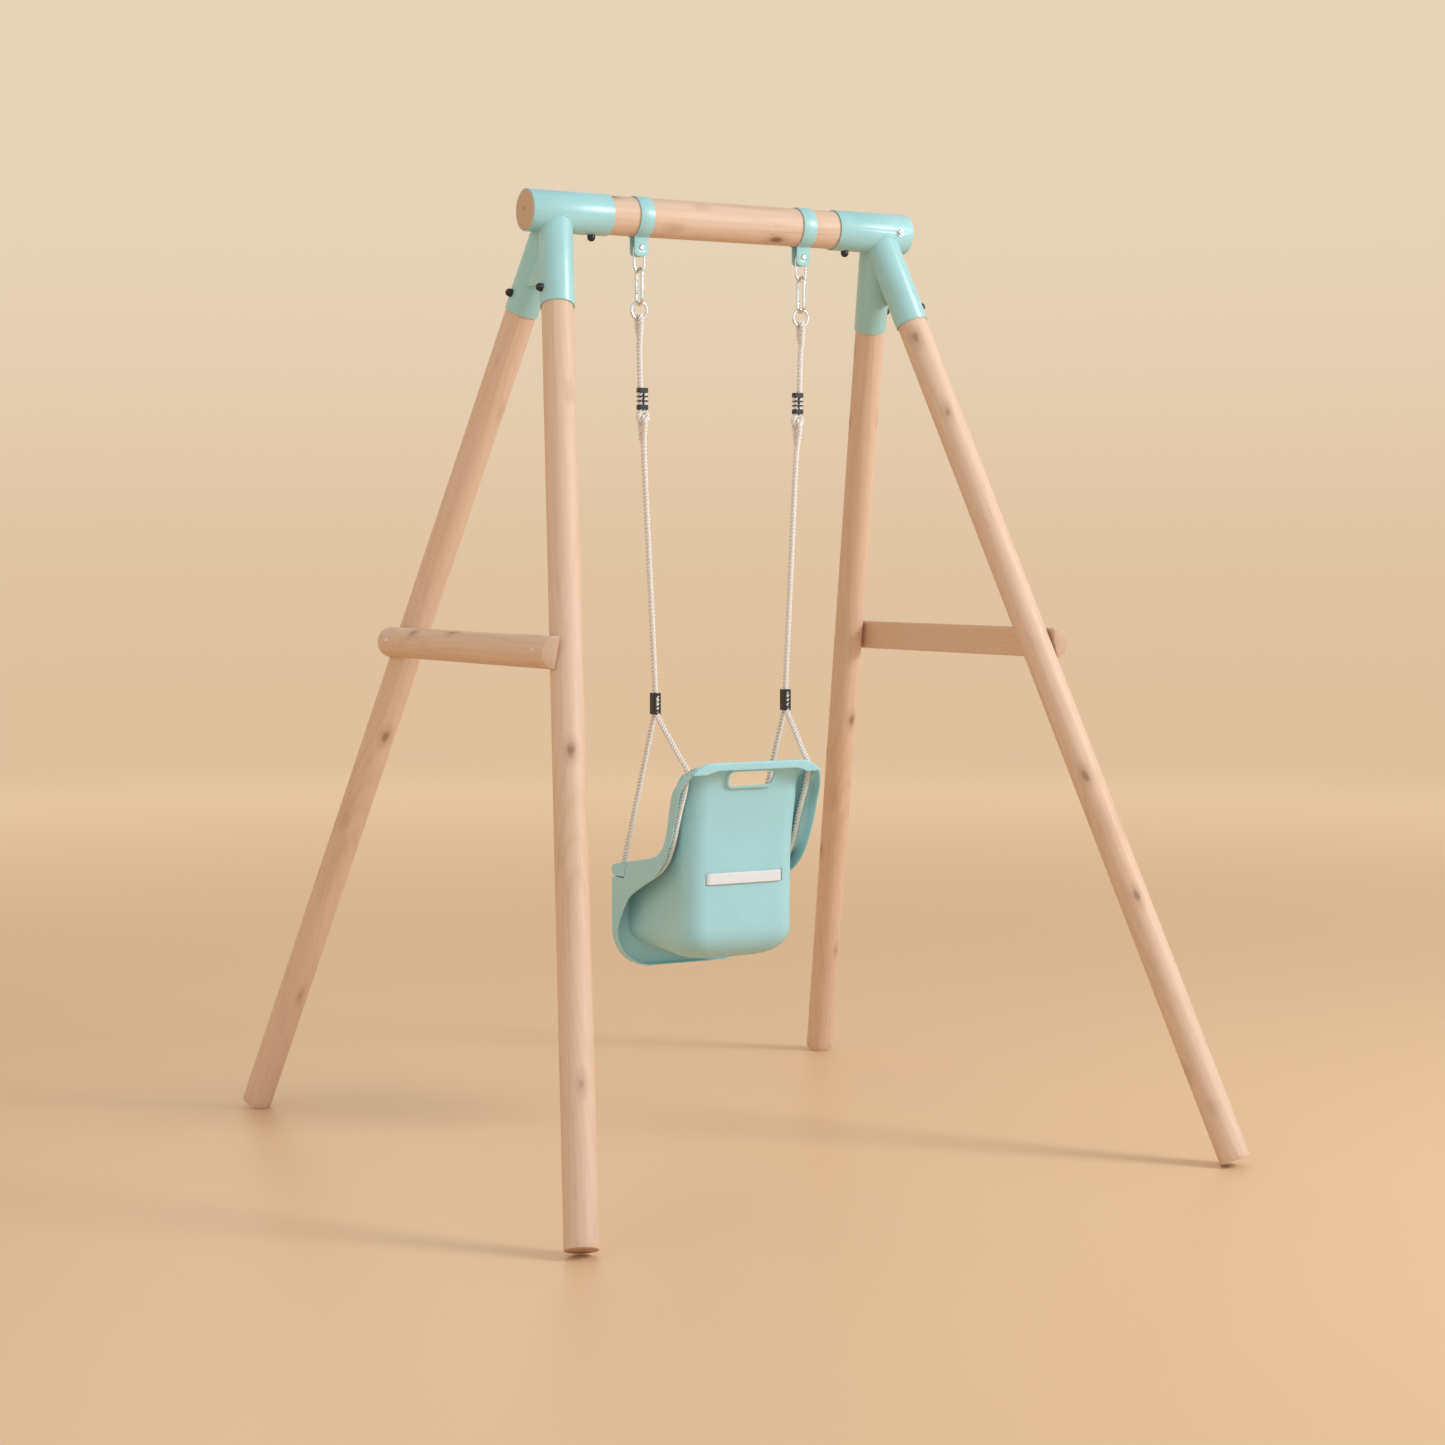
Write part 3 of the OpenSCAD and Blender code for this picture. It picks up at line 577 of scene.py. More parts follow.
def applied(obj):
    """Bakes the modifiers into the mesh."""
    graph = bpy.context.evaluated_depsgraph_get()
    mesh = bpy.data.meshes.new_from_object(obj.evaluated_get(graph))
    obj.modifiers.clear()
    obj.data = mesh
    return obj


def finished(obj, mat):
    """One finish all over, shaded smooth."""
    obj.data.materials.clear()
    obj.data.materials.append(mat)
    obj.data.polygons.foreach_set("use_smooth", [True] * len(obj.data.polygons))
    return obj


def moulded(obj, voxel, rounds, mat, keep):
    """Fuses a piece on a fine grid and rounds every edge as a tool would."""
    remesh = obj.modifiers.new("grid", "REMESH")
    remesh.mode = "VOXEL"
    remesh.voxel_size = voxel
    remesh.use_smooth_shade = True
    smooth = obj.modifiers.new("round", "SMOOTH")
    smooth.factor = 0.5
    smooth.iterations = rounds
    thin = obj.modifiers.new("thin", "DECIMATE")
    thin.ratio = keep
    return finished(applied(obj), mat)


def stands_for(obj, body, slot, *nodes):
    """Puts a finished piece on its body and in the place of its CAD nodes. The slot is not used."""
    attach(obj, body)
    if nodes:
        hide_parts(*nodes)


def bevelled(node, name, width, mat):
    """A hard piece: the CAD solid with its edges broken."""

    def dissolve(work):
        angle = math.radians(0.6)
        bmesh.ops.dissolve_limit(
            work, angle_limit=angle, verts=work.verts, edges=work.edges, delimit={"NORMAL"}
        )

    obj = copy_of(node, name)
    reshaped(obj.data, dissolve)
    bevel = obj.modifiers.new("edge", "BEVEL")
    bevel.width = width
    bevel.segments = 2
    bevel.limit_method = "ANGLE"
    bevel.angle_limit = math.radians(35)
    bevel.harden_normals = False
    bevel.use_clamp_overlap = True
    finished(applied(obj), mat)
    obj.data.set_sharp_from_angle(angle=math.radians(40))
    return obj


def painted(node):
    """A steel piece of the frame, powder coated."""
    coat = bevelled(node, node + "_coated", 0.0007, material("powder_coat"))
    stands_for(coat, "frame", "mint_steel", node)


def dress(node, mat):
    """Gives a CAD node that keeps its shape its finish."""
    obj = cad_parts[node]
    obj.data.materials.clear()
    obj.data.materials.append(mat)


# ---- stage


CAMERA_PLACE = (3.7661, 6.4784, 1.5463)
CAMERA_BACK = Vector((0.5021, 0.8628, 0.0595))
FLAT_FLOOR = 12.0
SWEEP = 6.0
WALL_TOP = 20.0
SKY_TINT = (0.94, 0.97, 1.0)


class SWING_OT_stage(bpy.types.Operator):
    """Set the camera, the pale floor and the soft studio light"""

    bl_idname = "swing.stage"
    bl_label = "Stage"

    def execute(self, context):
        s = stage_settings()
        scene = context.scene
        scene.view_settings.view_transform = "Standard"
        scene.view_settings.look = "None"
        camera = bpy.data.cameras.new("camera")
        camera.lens = s.lens
        camera.sensor_width = 36.0
        camera.clip_end = 100.0
        holder = bpy.data.objects.new("camera", camera)
        scene.collection.objects.link(holder)
        holder.matrix_world = aimed(CAMERA_PLACE, CAMERA_BACK)
        scene.camera = holder
        self.floor(s)
        for name, place, height, size, power, tint in (
            ("key", (-4.6, 5.2, 4.6), 1.0, 2.4, s.key, (0.96, 0.98, 1.0)),
            ("fill", (6.0, 2.0, 3.4), 1.2, 4.0, s.fill, (0.95, 0.98, 1.0)),
            ("front", (-1.5, -6.5, 4.5), 1.0, 4.0, s.fill * 1.2, (0.97, 0.98, 1.0)),
            ("top", (0.4, 0.6, 6.5), 0.0, 4.5, s.fill * 0.6, (0.96, 0.98, 1.0)),
        ):
            lamp = bpy.data.lights.new(name, "AREA")
            lamp.shape = "DISK"
            lamp.size = size
            lamp.energy = power
            lamp.color = tint
            obj = bpy.data.objects.new(name, lamp)
            scene.collection.objects.link(obj)
            obj.matrix_world = aimed(place, Vector(place) - Vector((0, 0, height)))
        world = bpy.data.worlds.new("surround")
        world.use_nodes = True
        shade = world.node_tree.nodes["Background"]
        shade.inputs["Color"].default_value = (*SKY_TINT, 1.0)
        shade.inputs["Strength"].default_value = s.world
        scene.world = world
        return {"FINISHED"}

    def floor(self, s):
        """A floor that curves up into a backdrop on every side."""
        profile = [(FLAT_FLOOR / 2, 0.0), (FLAT_FLOOR * 0.75, 0.0), (FLAT_FLOOR, 0.0)]
        for a in np.radians(range(10, 91, 10)):
            profile.append((FLAT_FLOOR + SWEEP * math.sin(a), SWEEP * (1 - math.cos(a))))
        profile += [(FLAT_FLOOR + SWEEP, FLAT_FLOOR), (FLAT_FLOOR + SWEEP, WALL_TOP)]
        around = 64
        points = [(0, 0, 0)]
        points += [(r * math.cos(a), r * math.sin(a), z) for r, z in profile for a in circle(around)]
        faces = [(0, 1 + k, 1 + (k + 1) % around) for k in range(around)]
        faces += [tuple(i + 1 for i in f[::-1]) for f in tube_faces(len(profile), around)]
        piece("studio_floor", points, faces, self.backdrop(s))

    def backdrop(self, s):
        """A lit floor near the swing, which fades into glowing paper: painted light, darker low and paler
        high, and neutral white towards +Y.
        """
        n = Nodes("backdrop")
        height = n.add("ShaderNodeSeparateXYZ", {"Vector": n.place()}).outputs["Z"]
        cloud = n.noise(n.place(), 0.6, 2.0)
        wall = n.span(n.vector("LENGTH", n.place((1, 1, 0))), 3.0, 13.0, eased=True)
        base = n.mix(n.span(cloud, 0.3, 0.7, 0, 0.05), s.floor, tone(s.floor, 0.94))
        base = n.mix(wall, base, (0.0, 0.0, 0.0))
        toward = n.vector("DOT_PRODUCT", n.place(), (-0.20, 0.98, 0.0))
        # painted light: the paper's glow runs from the horizon tone low to the paler backdrop tone high, and
        # to neutral white towards +Y
        paper = n.mix(n.span(height, 0.2, 4.6, eased=True), s.horizon, s.backdrop)
        paper = n.mix(n.span(toward, 1.0, 6.0), paper, s.paper)
        return n.finish(
            Base_Color=base,
            Roughness=0.40,
            Specular_IOR_Level=n.span(wall, 0.0, 1.0, 0.30, 0.0),
            Emission_Color=paper,
            Emission_Strength=wall,
        )


# ---- ropes


def arc(x, z, r, start, end, upright):
    """Seven points of an arc, in the Y-Z plane if upright, else in X-Z."""
    a = np.radians(np.linspace(start, end, 7))
    flat = np.stack([r * np.cos(a), z + r * np.sin(a)], axis=1)
    return [(x, c, h) if upright else (x + c, 0.0, h) for c, h in flat]


UPPER_ROUTE = (
    [(0.244, -0.0065, 2.116), (0.244, -0.008, 2.128)]
    + arc(HANG_X, RING_Z - RING_CENTRE, RING_BIGHT, 180, 0, True)
    + [(0.244, 0.008, 2.128), (0.244, 0.0065, 2.112), (0.244, 0.003, 2.094), (0.2435, 0.0005, 2.078)]
    + [(0.243, 0, 2.060), (0.241, 0, 1.970), (0.241, 0, 1.940), (0.241, 0, 1.912), (0.2445, 0, 1.903)]
    + arc(EYE_X, LOOP_Z + EYE, EYE, 0, -180, False)
    + [(0.2235, 0, 1.903), (0.229, 0, 1.912), (0.229, 0, 1.950)]
)
LOWER_ROUTE = (
    [(0.234, -0.0065, 1.846), (0.234, -0.008, 1.860), (0.234, -0.011, 1.874)]
    + arc(EYE_X, LOOP_Z, EYE, 180, 0, True)
    + [(0.234, 0.011, 1.874), (0.234, 0.008, 1.860), (0.2335, 0.005, 1.846), (0.232, 0.0015, 1.825)]
    + [(0.2305, 0, 1.800), (0.214, 0, 1.490), (0.1985, 0, 1.190), (0.198, 0, 1.165)]
)
SEAT_ROUTE = [
    (0.198, -0.0065, 1.150), (0.198, -0.0065, 1.130), (0.198, -0.011, 1.116), (0.198, -0.0596, 1.000),
    (0.198, -0.1432, 0.800), (0.198, -0.191, 0.6855), (0.197, -0.195, 0.672), (0.195, -0.191, 0.661),
    (0.192, -0.176, 0.656), (0.190, -0.140, 0.662), (0.188, -0.090, 0.678), (0.186, -0.040, 0.697),
    (0.184, 0.009, 0.723), (0.183, 0.042, 0.754), (0.183, 0.069, 0.799), (0.183, 0.087, 0.844),
    (0.183, 0.106, 0.889), (0.183, 0.123, 0.924), (0.183, 0.135, 0.954), (0.183, 0.142, 0.984),
    (0.184, 0.139, 0.996), (0.187, 0.112, 1.020), (0.193, 0.060, 1.073), (0.1975, 0.015, 1.118),
    (0.198, 0.0065, 1.131), (0.198, 0.0065, 1.150),
]


# The hidden ends of each rope: a spliced tail tucked into the standing part, or an end inside a fitting
TAILS = {
    "upper": ([(0.244, -0.0005, 2.090), (0.244, -0.004, 2.104)], [(0.229, 0, 1.966)]),
    "lower": ([(0.232, -0.0010, 1.818), (0.2335, -0.0040, 1.832)], []),
    "seat": (
        [(0.198, -0.0068, 1.176), (0.198, -0.0066, 1.162)],
        [(0.198, 0.0066, 1.162), (0.198, 0.0068, 1.176)],
    ),
}


# One strand's share of a rope's outline, in degrees, and the length of a spliced tail's taper
LOBE = np.array([-58, -46, -34, -22, -11, 0, 11, 22, 34, 46])
TAPER = 0.035


class SWING_OT_ropes(bpy.types.Operator):
    """Lay the three-strand ropes along their routes"""

    bl_idname = "swing.ropes"
    bl_label = "Ropes"

    def execute(self, context):
        for side, sign in (("left", 1), ("right", -1)):
            for kind, route in (("upper", UPPER_ROUTE), ("lower", LOWER_ROUTE), ("seat", SEAT_ROUTE)):
                first, last = TAILS[kind]
                points = [(sign * x, y, z) for x, y, z in first + route + last]
                self.rope(f"{kind}_rope_{side}", points, kind != "seat")
        return {"FINISHED"}

    def rope(self, node, route, tapered):
        """Three round strands, twisted. A tapered rope starts as a thin spliced tail."""
        d = sizes().rope_diameter
        line = curve_through(route, sizes().rope_step)
        side, other = square_to(line)
        along = distance_along(line)
        strand = d / 2 / (1 + 2 / math.sqrt(3))
        centre = strand * 2 / math.sqrt(3)
        lobe = np.radians(LOBE)
        reach = centre * np.cos(lobe) + np.sqrt(np.maximum(strand**2 - (centre * np.sin(lobe)) ** 2, 0))
        twist = along[:, None] / sizes().rope_lay * 2 * math.pi
        angle = twist + np.concatenate([lobe + k * 2 * math.pi / 3 for k in range(3)])[None]
        size = np.clip(0.4 + along / TAPER, 0.4, 1.0)[:, None] if tapered else 1.0
        radius = np.tile(reach, 3) * size * np.ones_like(angle)
        steps, around = angle.shape
        points = tube_points(line, side, other, radius, angle)
        obj = piece(node + "_laid", points, capped_tube(steps, around), material("rope"))
        self.unroll(obj, along, steps, around)
        stands_for(obj, "swing", "rope", node)

    def unroll(self, obj, along, steps, around):
        """Stores how far along the rope, and how far across its strand, each corner is."""
        vert = np.zeros(len(obj.data.loops), np.int64)
        obj.data.loops.foreach_get("vertex_index", vert)
        ring, k = vert // around, vert % around
        place = np.zeros((len(vert), 2), np.float32)
        place[:, 0] = along[ring]
        place[:, 1] = (np.tile(LOBE, 3)[k] + 60) / 120
        walls = (steps - 1) * around * 4
        corner = np.arange(walls) % 4
        next_strand = ((corner == 1) | (corner == 2)) & (k[:walls] % len(LOBE) == 0)
        place[:walls, 1][next_strand] = 1.0
        obj.data.uv_layers.new(name="lay").data.foreach_set("uv", place.ravel())


# ---- timber


BROKEN_EDGE = 0.0016
FLAT_EDGE = 0.0018
FLAT_STEPS = 12


def wavering(z, angle, seed):
    """Shallow unevenness of a milled pole, inward only, in metres."""
    slow = np.sin(2.3 * z + 2 * angle + seed) * 0.6
    return -0.00022 * (1 + slow + np.sin(5.1 * z - angle * 3 + 2 * seed) * 0.4)


def cut_levels(size, count):
    """Heights along a cut length of timber, and how far each is drawn in to break the ends' edges."""
    end = np.array((0, BROKEN_EDGE * 0.3, BROKEN_EDGE))
    z = np.concatenate([end, np.linspace(0.02, size - 0.02, count), size - end[::-1]])
    drawn_in = np.zeros(len(z))
    drawn_in[[0, -1]] = BROKEN_EDGE
    drawn_in[[1, -2]] = BROKEN_EDGE * 0.35
    return z, drawn_in


def timber_piece(name, points, walls, ends, sharp, at):
    """A length of timber with sawn ends."""
    obj = piece(name, points, walls + ends, material("timber"), material("end_grain"), at=at)
    index = np.zeros(len(obj.data.polygons), np.int32)
    index[len(walls) :] = 1
    obj.data.polygons.foreach_set("material_index", index)
    obj.data.set_sharp_from_angle(angle=math.radians(sharp))
    return obj


def pole(name, size, radius, at, seed):
    """A milled pole with broken edges, local Z from 0 to size."""
    sides = sizes().pole_sides
    z, drawn_in = cut_levels(size, int(size / 0.04))
    a = circle(sides)
    r = radius - drawn_in[:, None] + wavering(z[:, None], a[None], seed)
    points = np.stack([r * np.cos(a), r * np.sin(a), np.repeat(z[:, None], sides, 1)], axis=2)
    points = [tuple(p) for p in points.reshape(-1, 3)]
    ends = []
    for base, height, flip in ((0, 0.0, True), ((len(z) - 1) * sides, size, False)):
        inner = len(points)
        for share in (0.66 * radius, 0.33 * radius):
            points += [(share * math.cos(t), share * math.sin(t), height) for t in a]
        points.append((0.0, 0.0, height))
        rows = (base, inner, inner + sides)
        for k, after in zip(range(sides), [*range(1, sides), 0]):
            cap = [(p + k, p + after, q + after, q + k) for p, q in zip(rows, rows[1:])]
            cap.append((rows[2] + k, rows[2] + after, inner + 2 * sides))
            ends += [q[::-1] for q in cap] if flip else cap
    return timber_piece(name, points, tube_faces(len(z), sides), ends, 50, at)


class SWING_OT_timber(bpy.types.Operator):
    """Turn the beam, the legs and the half-round braces"""

    bl_idname = "swing.timber"
    bl_label = "Timber"

    def execute(self, context):
        at = axes((-BEAM_LENGTH / 2, 0, APEX.z), (1, 0, 0))
        beam = pole("beam_pole", BEAM_LENGTH, BEAM_RADIUS - SKIN, at, 0.7)
        stands_for(beam, "frame", "timber", "top_beam")
        seed = 1.0
        for sx, left in ((1, "left"), (-1, "right")):
            for sy, front in ((-1, "front"), (1, "rear")):
                way = Vector((sx * (FOOT.x - APEX.x), sy * FOOT.y, FOOT.z - APEX.z)).normalized()
                top = Vector((sx * APEX.x, 0, APEX.z)) + way * (AXIS_LENGTH - LEG_LENGTH)
                at = axes(top, way) @ Matrix.Rotation(seed * 1.9, 4, "Z")
                leg = pole(f"leg_pole_{front}_{left}", LEG_LENGTH, LEG_RADIUS - SKIN, at, seed)
                stands_for(leg, "frame", "timber", f"leg_{front}_{left}")
                seed += 1.37
            brace = self.brace(sx, f"brace_rail_{left}")
            stands_for(brace, "frame", "timber", f"brace_{left}")
        return {"FINISHED"}

    def brace(self, sx, name):
        """A half-round rail, its flat against the legs."""
        flat = APEX + DOWN * ((APEX.z - BRACE_HEIGHT) / math.cos(SPLAY)) + OUTWARD * (LEG_RADIUS + SKIN)
        way = Vector((0, 1, 0))
        at = frame_of(OUTWARD, way.cross(OUTWARD), way, flat - way * (BRACE_LENGTH / 2))
        at = Matrix.Rotation(math.pi if sx < 0 else 0.0, 4, "Z") @ at
        r, c = LEG_RADIUS - SKIN, FLAT_EDGE
        bow = math.pi / 2 - 0.045
        turn = np.linspace(-bow, bow, sizes().pole_sides // 2)
        outline = [(r * math.cos(t), r * math.sin(t)) for t in turn]
        outline.append((c * 0.5, r - c * 0.18))
        outline += [(0.0, r - c - k * (2 * (r - c)) / FLAT_STEPS) for k in range(FLAT_STEPS + 1)]
        outline.append((c * 0.5, -r + c * 0.18))
        middle = np.array((r * 0.42, 0.0))
        points = []
        levels, drawn_in = cut_levels(BRACE_LENGTH, 24)
        for z, inward in zip(levels, drawn_in):
            for q in np.array(outline):
                away = q - middle
                points.append((*(q - away / np.linalg.norm(away) * inward), z))
        n = len(outline)
        last = len(points) - n
        points += [(middle[0], 0, 0), (middle[0], 0, BRACE_LENGTH)]
        turn = [(k, (k + 1) % n) for k in range(n)]
        ends = [(b, a, last + n) for a, b in turn] + [(last + a, last + b, last + n + 1) for a, b in turn]
        return timber_piece(name, points, tube_faces(len(levels), n), ends, 42, at)


# ---- brackets


BEAD_RADIUS = 0.0024
BEAD_RIPPLE = 0.0004


class SWING_OT_brackets(bpy.types.Operator):
    """Coat the welded corner brackets and lay their weld beads"""

    bl_idname = "swing.brackets"
    bl_label = "Corner brackets"

    def execute(self, context):
        for sx, left in ((1, "left"), (-1, "right")):
            painted(f"bracket_{left}")
            for sy, front in ((-1, "front"), (1, "rear")):
                self.bead(sx, sy, f"weld_{front}_{left}")
        return {"FINISHED"}

    def bead(self, sx, sy, name):
        """A rippled bead where a leg sleeve meets the beam sleeve."""
        way = Vector((FOOT.x - APEX.x, sy * FOOT.y, FOOT.z - APEX.z)).normalized()
        u = way.cross(Vector((0, 0, 1))).normalized()
        v = way.cross(u)
        line = []
        for a in np.arange(0, 2 * math.pi, math.radians(2.0)):
            p = APEX + SLEEVE_RADIUS * (math.cos(a) * u + math.sin(a) * v)
            qa = way.y**2 + way.z**2
            qb = 2 * (p.y * way.y + (p.z - APEX.z) * way.z)
            qc = p.y**2 + (p.z - APEX.z) ** 2 - BEAM_SLEEVE_RADIUS**2
            s = (-qb + math.sqrt(max(qb * qb - 4 * qa * qc, 0))) / (2 * qa)
            line.append(p + s * way)
        line = np.array([tuple(p) for p in line])
        if sx < 0:
            line = line * np.array((-1, -1, 1))
        count, around = len(line), 10
        heading = np.roll(line, -1, 0) - np.roll(line, 1, 0)
        heading /= np.linalg.norm(heading, axis=1)[:, None]
        side = np.cross(heading, (0, 0, 1.0))
        side /= np.linalg.norm(side, axis=1)[:, None]
        ripple = np.abs(np.sin(np.arange(count) * math.pi / 3))[:, None]
        radius = BEAD_RADIUS + BEAD_RIPPLE * ripple
        points = tube_points(line, side, np.cross(heading, side), radius, circle(around))
        obj = piece(name, points, tube_faces(count, around, closed=True), material("powder_coat"))
        stands_for(obj, "frame", "mint_steel")


# ---- hardware


class SWING_OT_hardware(bpy.types.Operator):
    """Finish the bolts, nuts, clamps, links, hooks and rings"""

    bl_idname = "swing.hardware"
    bl_label = "Hardware"

    def execute(self, context):
        for side in ("left", "right"):
            painted(f"hanger_clamp_{side}")
            for node in ("chain_link_", "snap_hook_", "snap_gate_", "rope_ring_"):
                dress(node + side, material("zinc"))
        for node in ("clamp_bolts", "clamp_washers", "clamp_nuts", "gate_pins", "leg_bolts", "beam_bolts"):
            dress(node, material("zinc"))
        dress("brace_screws", material("zinc"))
        dress("beam_side_screws", material("screw"))
        for node in ("leg_cap_nuts", "beam_cap_nuts"):
            dress(node, material("cap"))
        return {"FINISHED"}


def fitting(node, voxel, keep):
    """A black nylon fitting with rounded edges."""
    obj = moulded(copy_of(node, node + "_moulded"), voxel, 3, material("black"), keep)
    stands_for(obj, "swing", "black_plastic", node)


class SWING_OT_fittings(bpy.types.Operator):
    """Mould the black rope adjusters and rope clips"""

    bl_idname = "swing.fittings"
    bl_label = "Rope fittings"

    def execute(self, context):
        for side in ("left", "right"):
            for kind in ("rope_adjuster", "rope_clip"):
                fitting(f"{kind}_{side}", sizes().fitting_voxel, 0.35)
        return {"FINISHED"}


# ---- seat

SEAT_WIDTH = 0.426
TUB_WIDTH = 0.330
WALL = 0.004
FRONT_Y = -0.217
APRON_Z = 0.439
LIP_Z = 0.525
LEDGE_Z = 0.6845
TOP_Z = 1.009
PAN_Z = 0.484
PAN_RISE = 0.016
HEEL_RADIUS = 0.085
TUB_EDGE = 0.066
TUB_CORNER = 0.056
APRON_CORNER = 0.105
HEAD_CORNER = 0.085
HANDLE_Z = 0.963
BELT_Z = 0.702
SLOT_X = 0.112
GUARD_BACK = -0.151
STRAND_SLOPE = 168.5 / 403
WING_X = 0.195
ROPE_X = 0.198
HEAD_HOLE = (0.183, 0.142, 0.984)
HEAD_HOLE_RADIUS = 0.0075
ARM_HOLE_RADIUS = 0.0068
BAR_GAP = 0.0006
COLLAR = 0.008
BEYOND = 0.3
RIM = [(-0.150, 0.728), (-0.085, 0.738), (-0.004, 0.752), (0.038, 0.765), (0.066, 0.790), (0.086, 0.835)]
RIM += [(0.099, 0.890), (0.118, 0.937), (0.147, 0.968), (0.183, 1.009)]
WING = [(-0.150, 0.728), (-0.085, 0.738), (-0.010, 0.751), (0.030, 0.772), (0.052, 0.810), (0.066, 0.850)]
WING += [(0.080, 0.900), (0.100, 0.945), (0.140, 0.984), (0.183, 1.009)]
SKIRT_EDGE = [(-0.188, 0.439), (-0.187, 0.500), (-0.183, 0.545), (-0.160, 0.588), (-0.122, 0.633)]
SKIRT_EDGE += [(-0.060, 0.666), (0.018, 0.702), (0.067, 0.742), (0.099, 0.790), (0.126, 0.850)]
SKIRT_EDGE += [(0.146, 0.910), (0.163, 0.950), (0.186, 0.985), (0.190, 1.009)]
BACK = [(0.118, 0.440), (0.118, 0.569), (0.118, 0.640), (0.119, 0.718), (0.123, 0.820), (0.132, 0.890)]
BACK += [(0.142, 0.944), (0.163, 0.985), (0.183, 1.009), (0.205, 1.035)]


def side_line(points, step=0.005):
    """A smooth side outline through (y, z) points."""
    return curve_through([(y, z, 0.0) for y, z in points], step)[:, :2]


def beside(line, t):
    """The outline moved sideways by t, to its right."""
    d = headings(line)
    return line + t * np.stack([d[:, 1], -d[:, 0]], axis=1)


def arc_points(cx, cy, r, start, end, count=12):
    a = np.radians(np.linspace(start, end, count + 1))
    return [(cx + r * math.cos(t), cy + r * math.sin(t)) for t in a]


def rectangle(x0, y0, x1, y1):
    return [(x0, y0), (x1, y0), (x1, y1), (x0, y1)]


def rounded(corners, count=12):
    """An outline of quarter turns, from each corner's centre, radius and first angle."""
    return [p for x, y, r, start in corners for p in arc_points(x, y, r, start, start + 90, count)]


def rounded_box(cx, cy, w, h, r):
    x0, x1, y0, y1 = cx - w / 2 + r, cx + w / 2 - r, cy - h / 2 + r, cy + h / 2 - r
    return rounded(((x1, y1, r, 0), (x0, y1, r, 90), (x0, y0, r, 180), (x1, y0, r, 270)), 6)


def filleted(corners, r, count=6):
    """A closed outline, counter-clockwise, with its corners rounded."""
    out = []
    for before, here, after in zip(corners[-1:] + corners[:-1], corners, corners[1:] + corners[:1]):
        p = Vector(here)
        u, v = (Vector(before) - p).normalized(), (Vector(after) - p).normalized()
        half = u.angle(v) / 2
        centre = p + (u + v).normalized() * (r / math.sin(half))
        start = p + u * (r / math.tan(half)) - centre
        turn = math.pi - 2 * half
        out += [tuple(centre + Matrix.Rotation(turn * k / count, 2) @ start) for k in range(count + 1)]
    return out


def handle_outline(grow):
    """The hand slot in the head, a little wider above."""
    low, high = HANDLE_Z - 0.019 - grow, HANDLE_Z + 0.019 + grow
    top, bottom = 0.071 + grow, 0.061 + grow
    return filleted([(-bottom, low), (bottom, low), (top, high), (-top, high)], 0.012 + grow)


def solid(points, faces):
    """A closed working solid with outward faces."""

    def close(work):
        bmesh.ops.remove_doubles(work, verts=work.verts, dist=1e-7)
        bmesh.ops.recalc_face_normals(work, faces=work.faces)
        bmesh.ops.triangulate(work, faces=work.faces)

    obj = piece("work", points, faces)
    reshaped(obj.data, close)
    return obj


def prism(outline, low, high, across_x):
    """An outline, (y, z) if across_x and else (x, z), made into a slab."""
    n = len(outline)
    points = []
    for level in (low, high):
        points += [(level, a, b) if across_x else (a, level, b) for a, b in outline]
    faces = [tuple(range(n)), tuple(range(2 * n - 1, n - 1, -1))]
    faces += [(k, (k + 1) % n, n + (k + 1) % n, n + k) for k in range(n)]
    return solid(points, faces)


def rod(start, end, radius, sides=32):
    at = axes(start, Vector(end) - Vector(start))
    size = (Vector(end) - Vector(start)).length
    ring = [(radius * math.cos(a), radius * math.sin(a)) for a in circle(sides)]
    points = [tuple(at @ Vector((x, y, z))) for z in (0, size) for x, y in ring]
    return solid(points, capped_tube(2, sides))


def combine(a, b, how):
    """Changes one working solid by another, which is used up."""
    change = a.modifiers.new("cut", "BOOLEAN")
    change.operation = how
    change.solver = "EXACT"
    change.object = b
    applied(a)
    bpy.data.objects.remove(b)
    return a


def cut(a, b):
    return combine(a, b, "DIFFERENCE")


def within(a, b):
    return combine(a, b, "INTERSECT")


def front_outline(inset):
    """The seat as seen from the front, drawn in by inset."""
    w, low, high = SEAT_WIDTH / 2 - inset, APRON_Z + inset, TOP_Z - inset
    a, h = APRON_CORNER, HEAD_CORNER
    head = ((w - h, high - h, h, 0), (h - w, high - h, h, 90))
    return rounded((*head, (a - w, low + a, a, 180), (w - a, low + a, a, 270)))


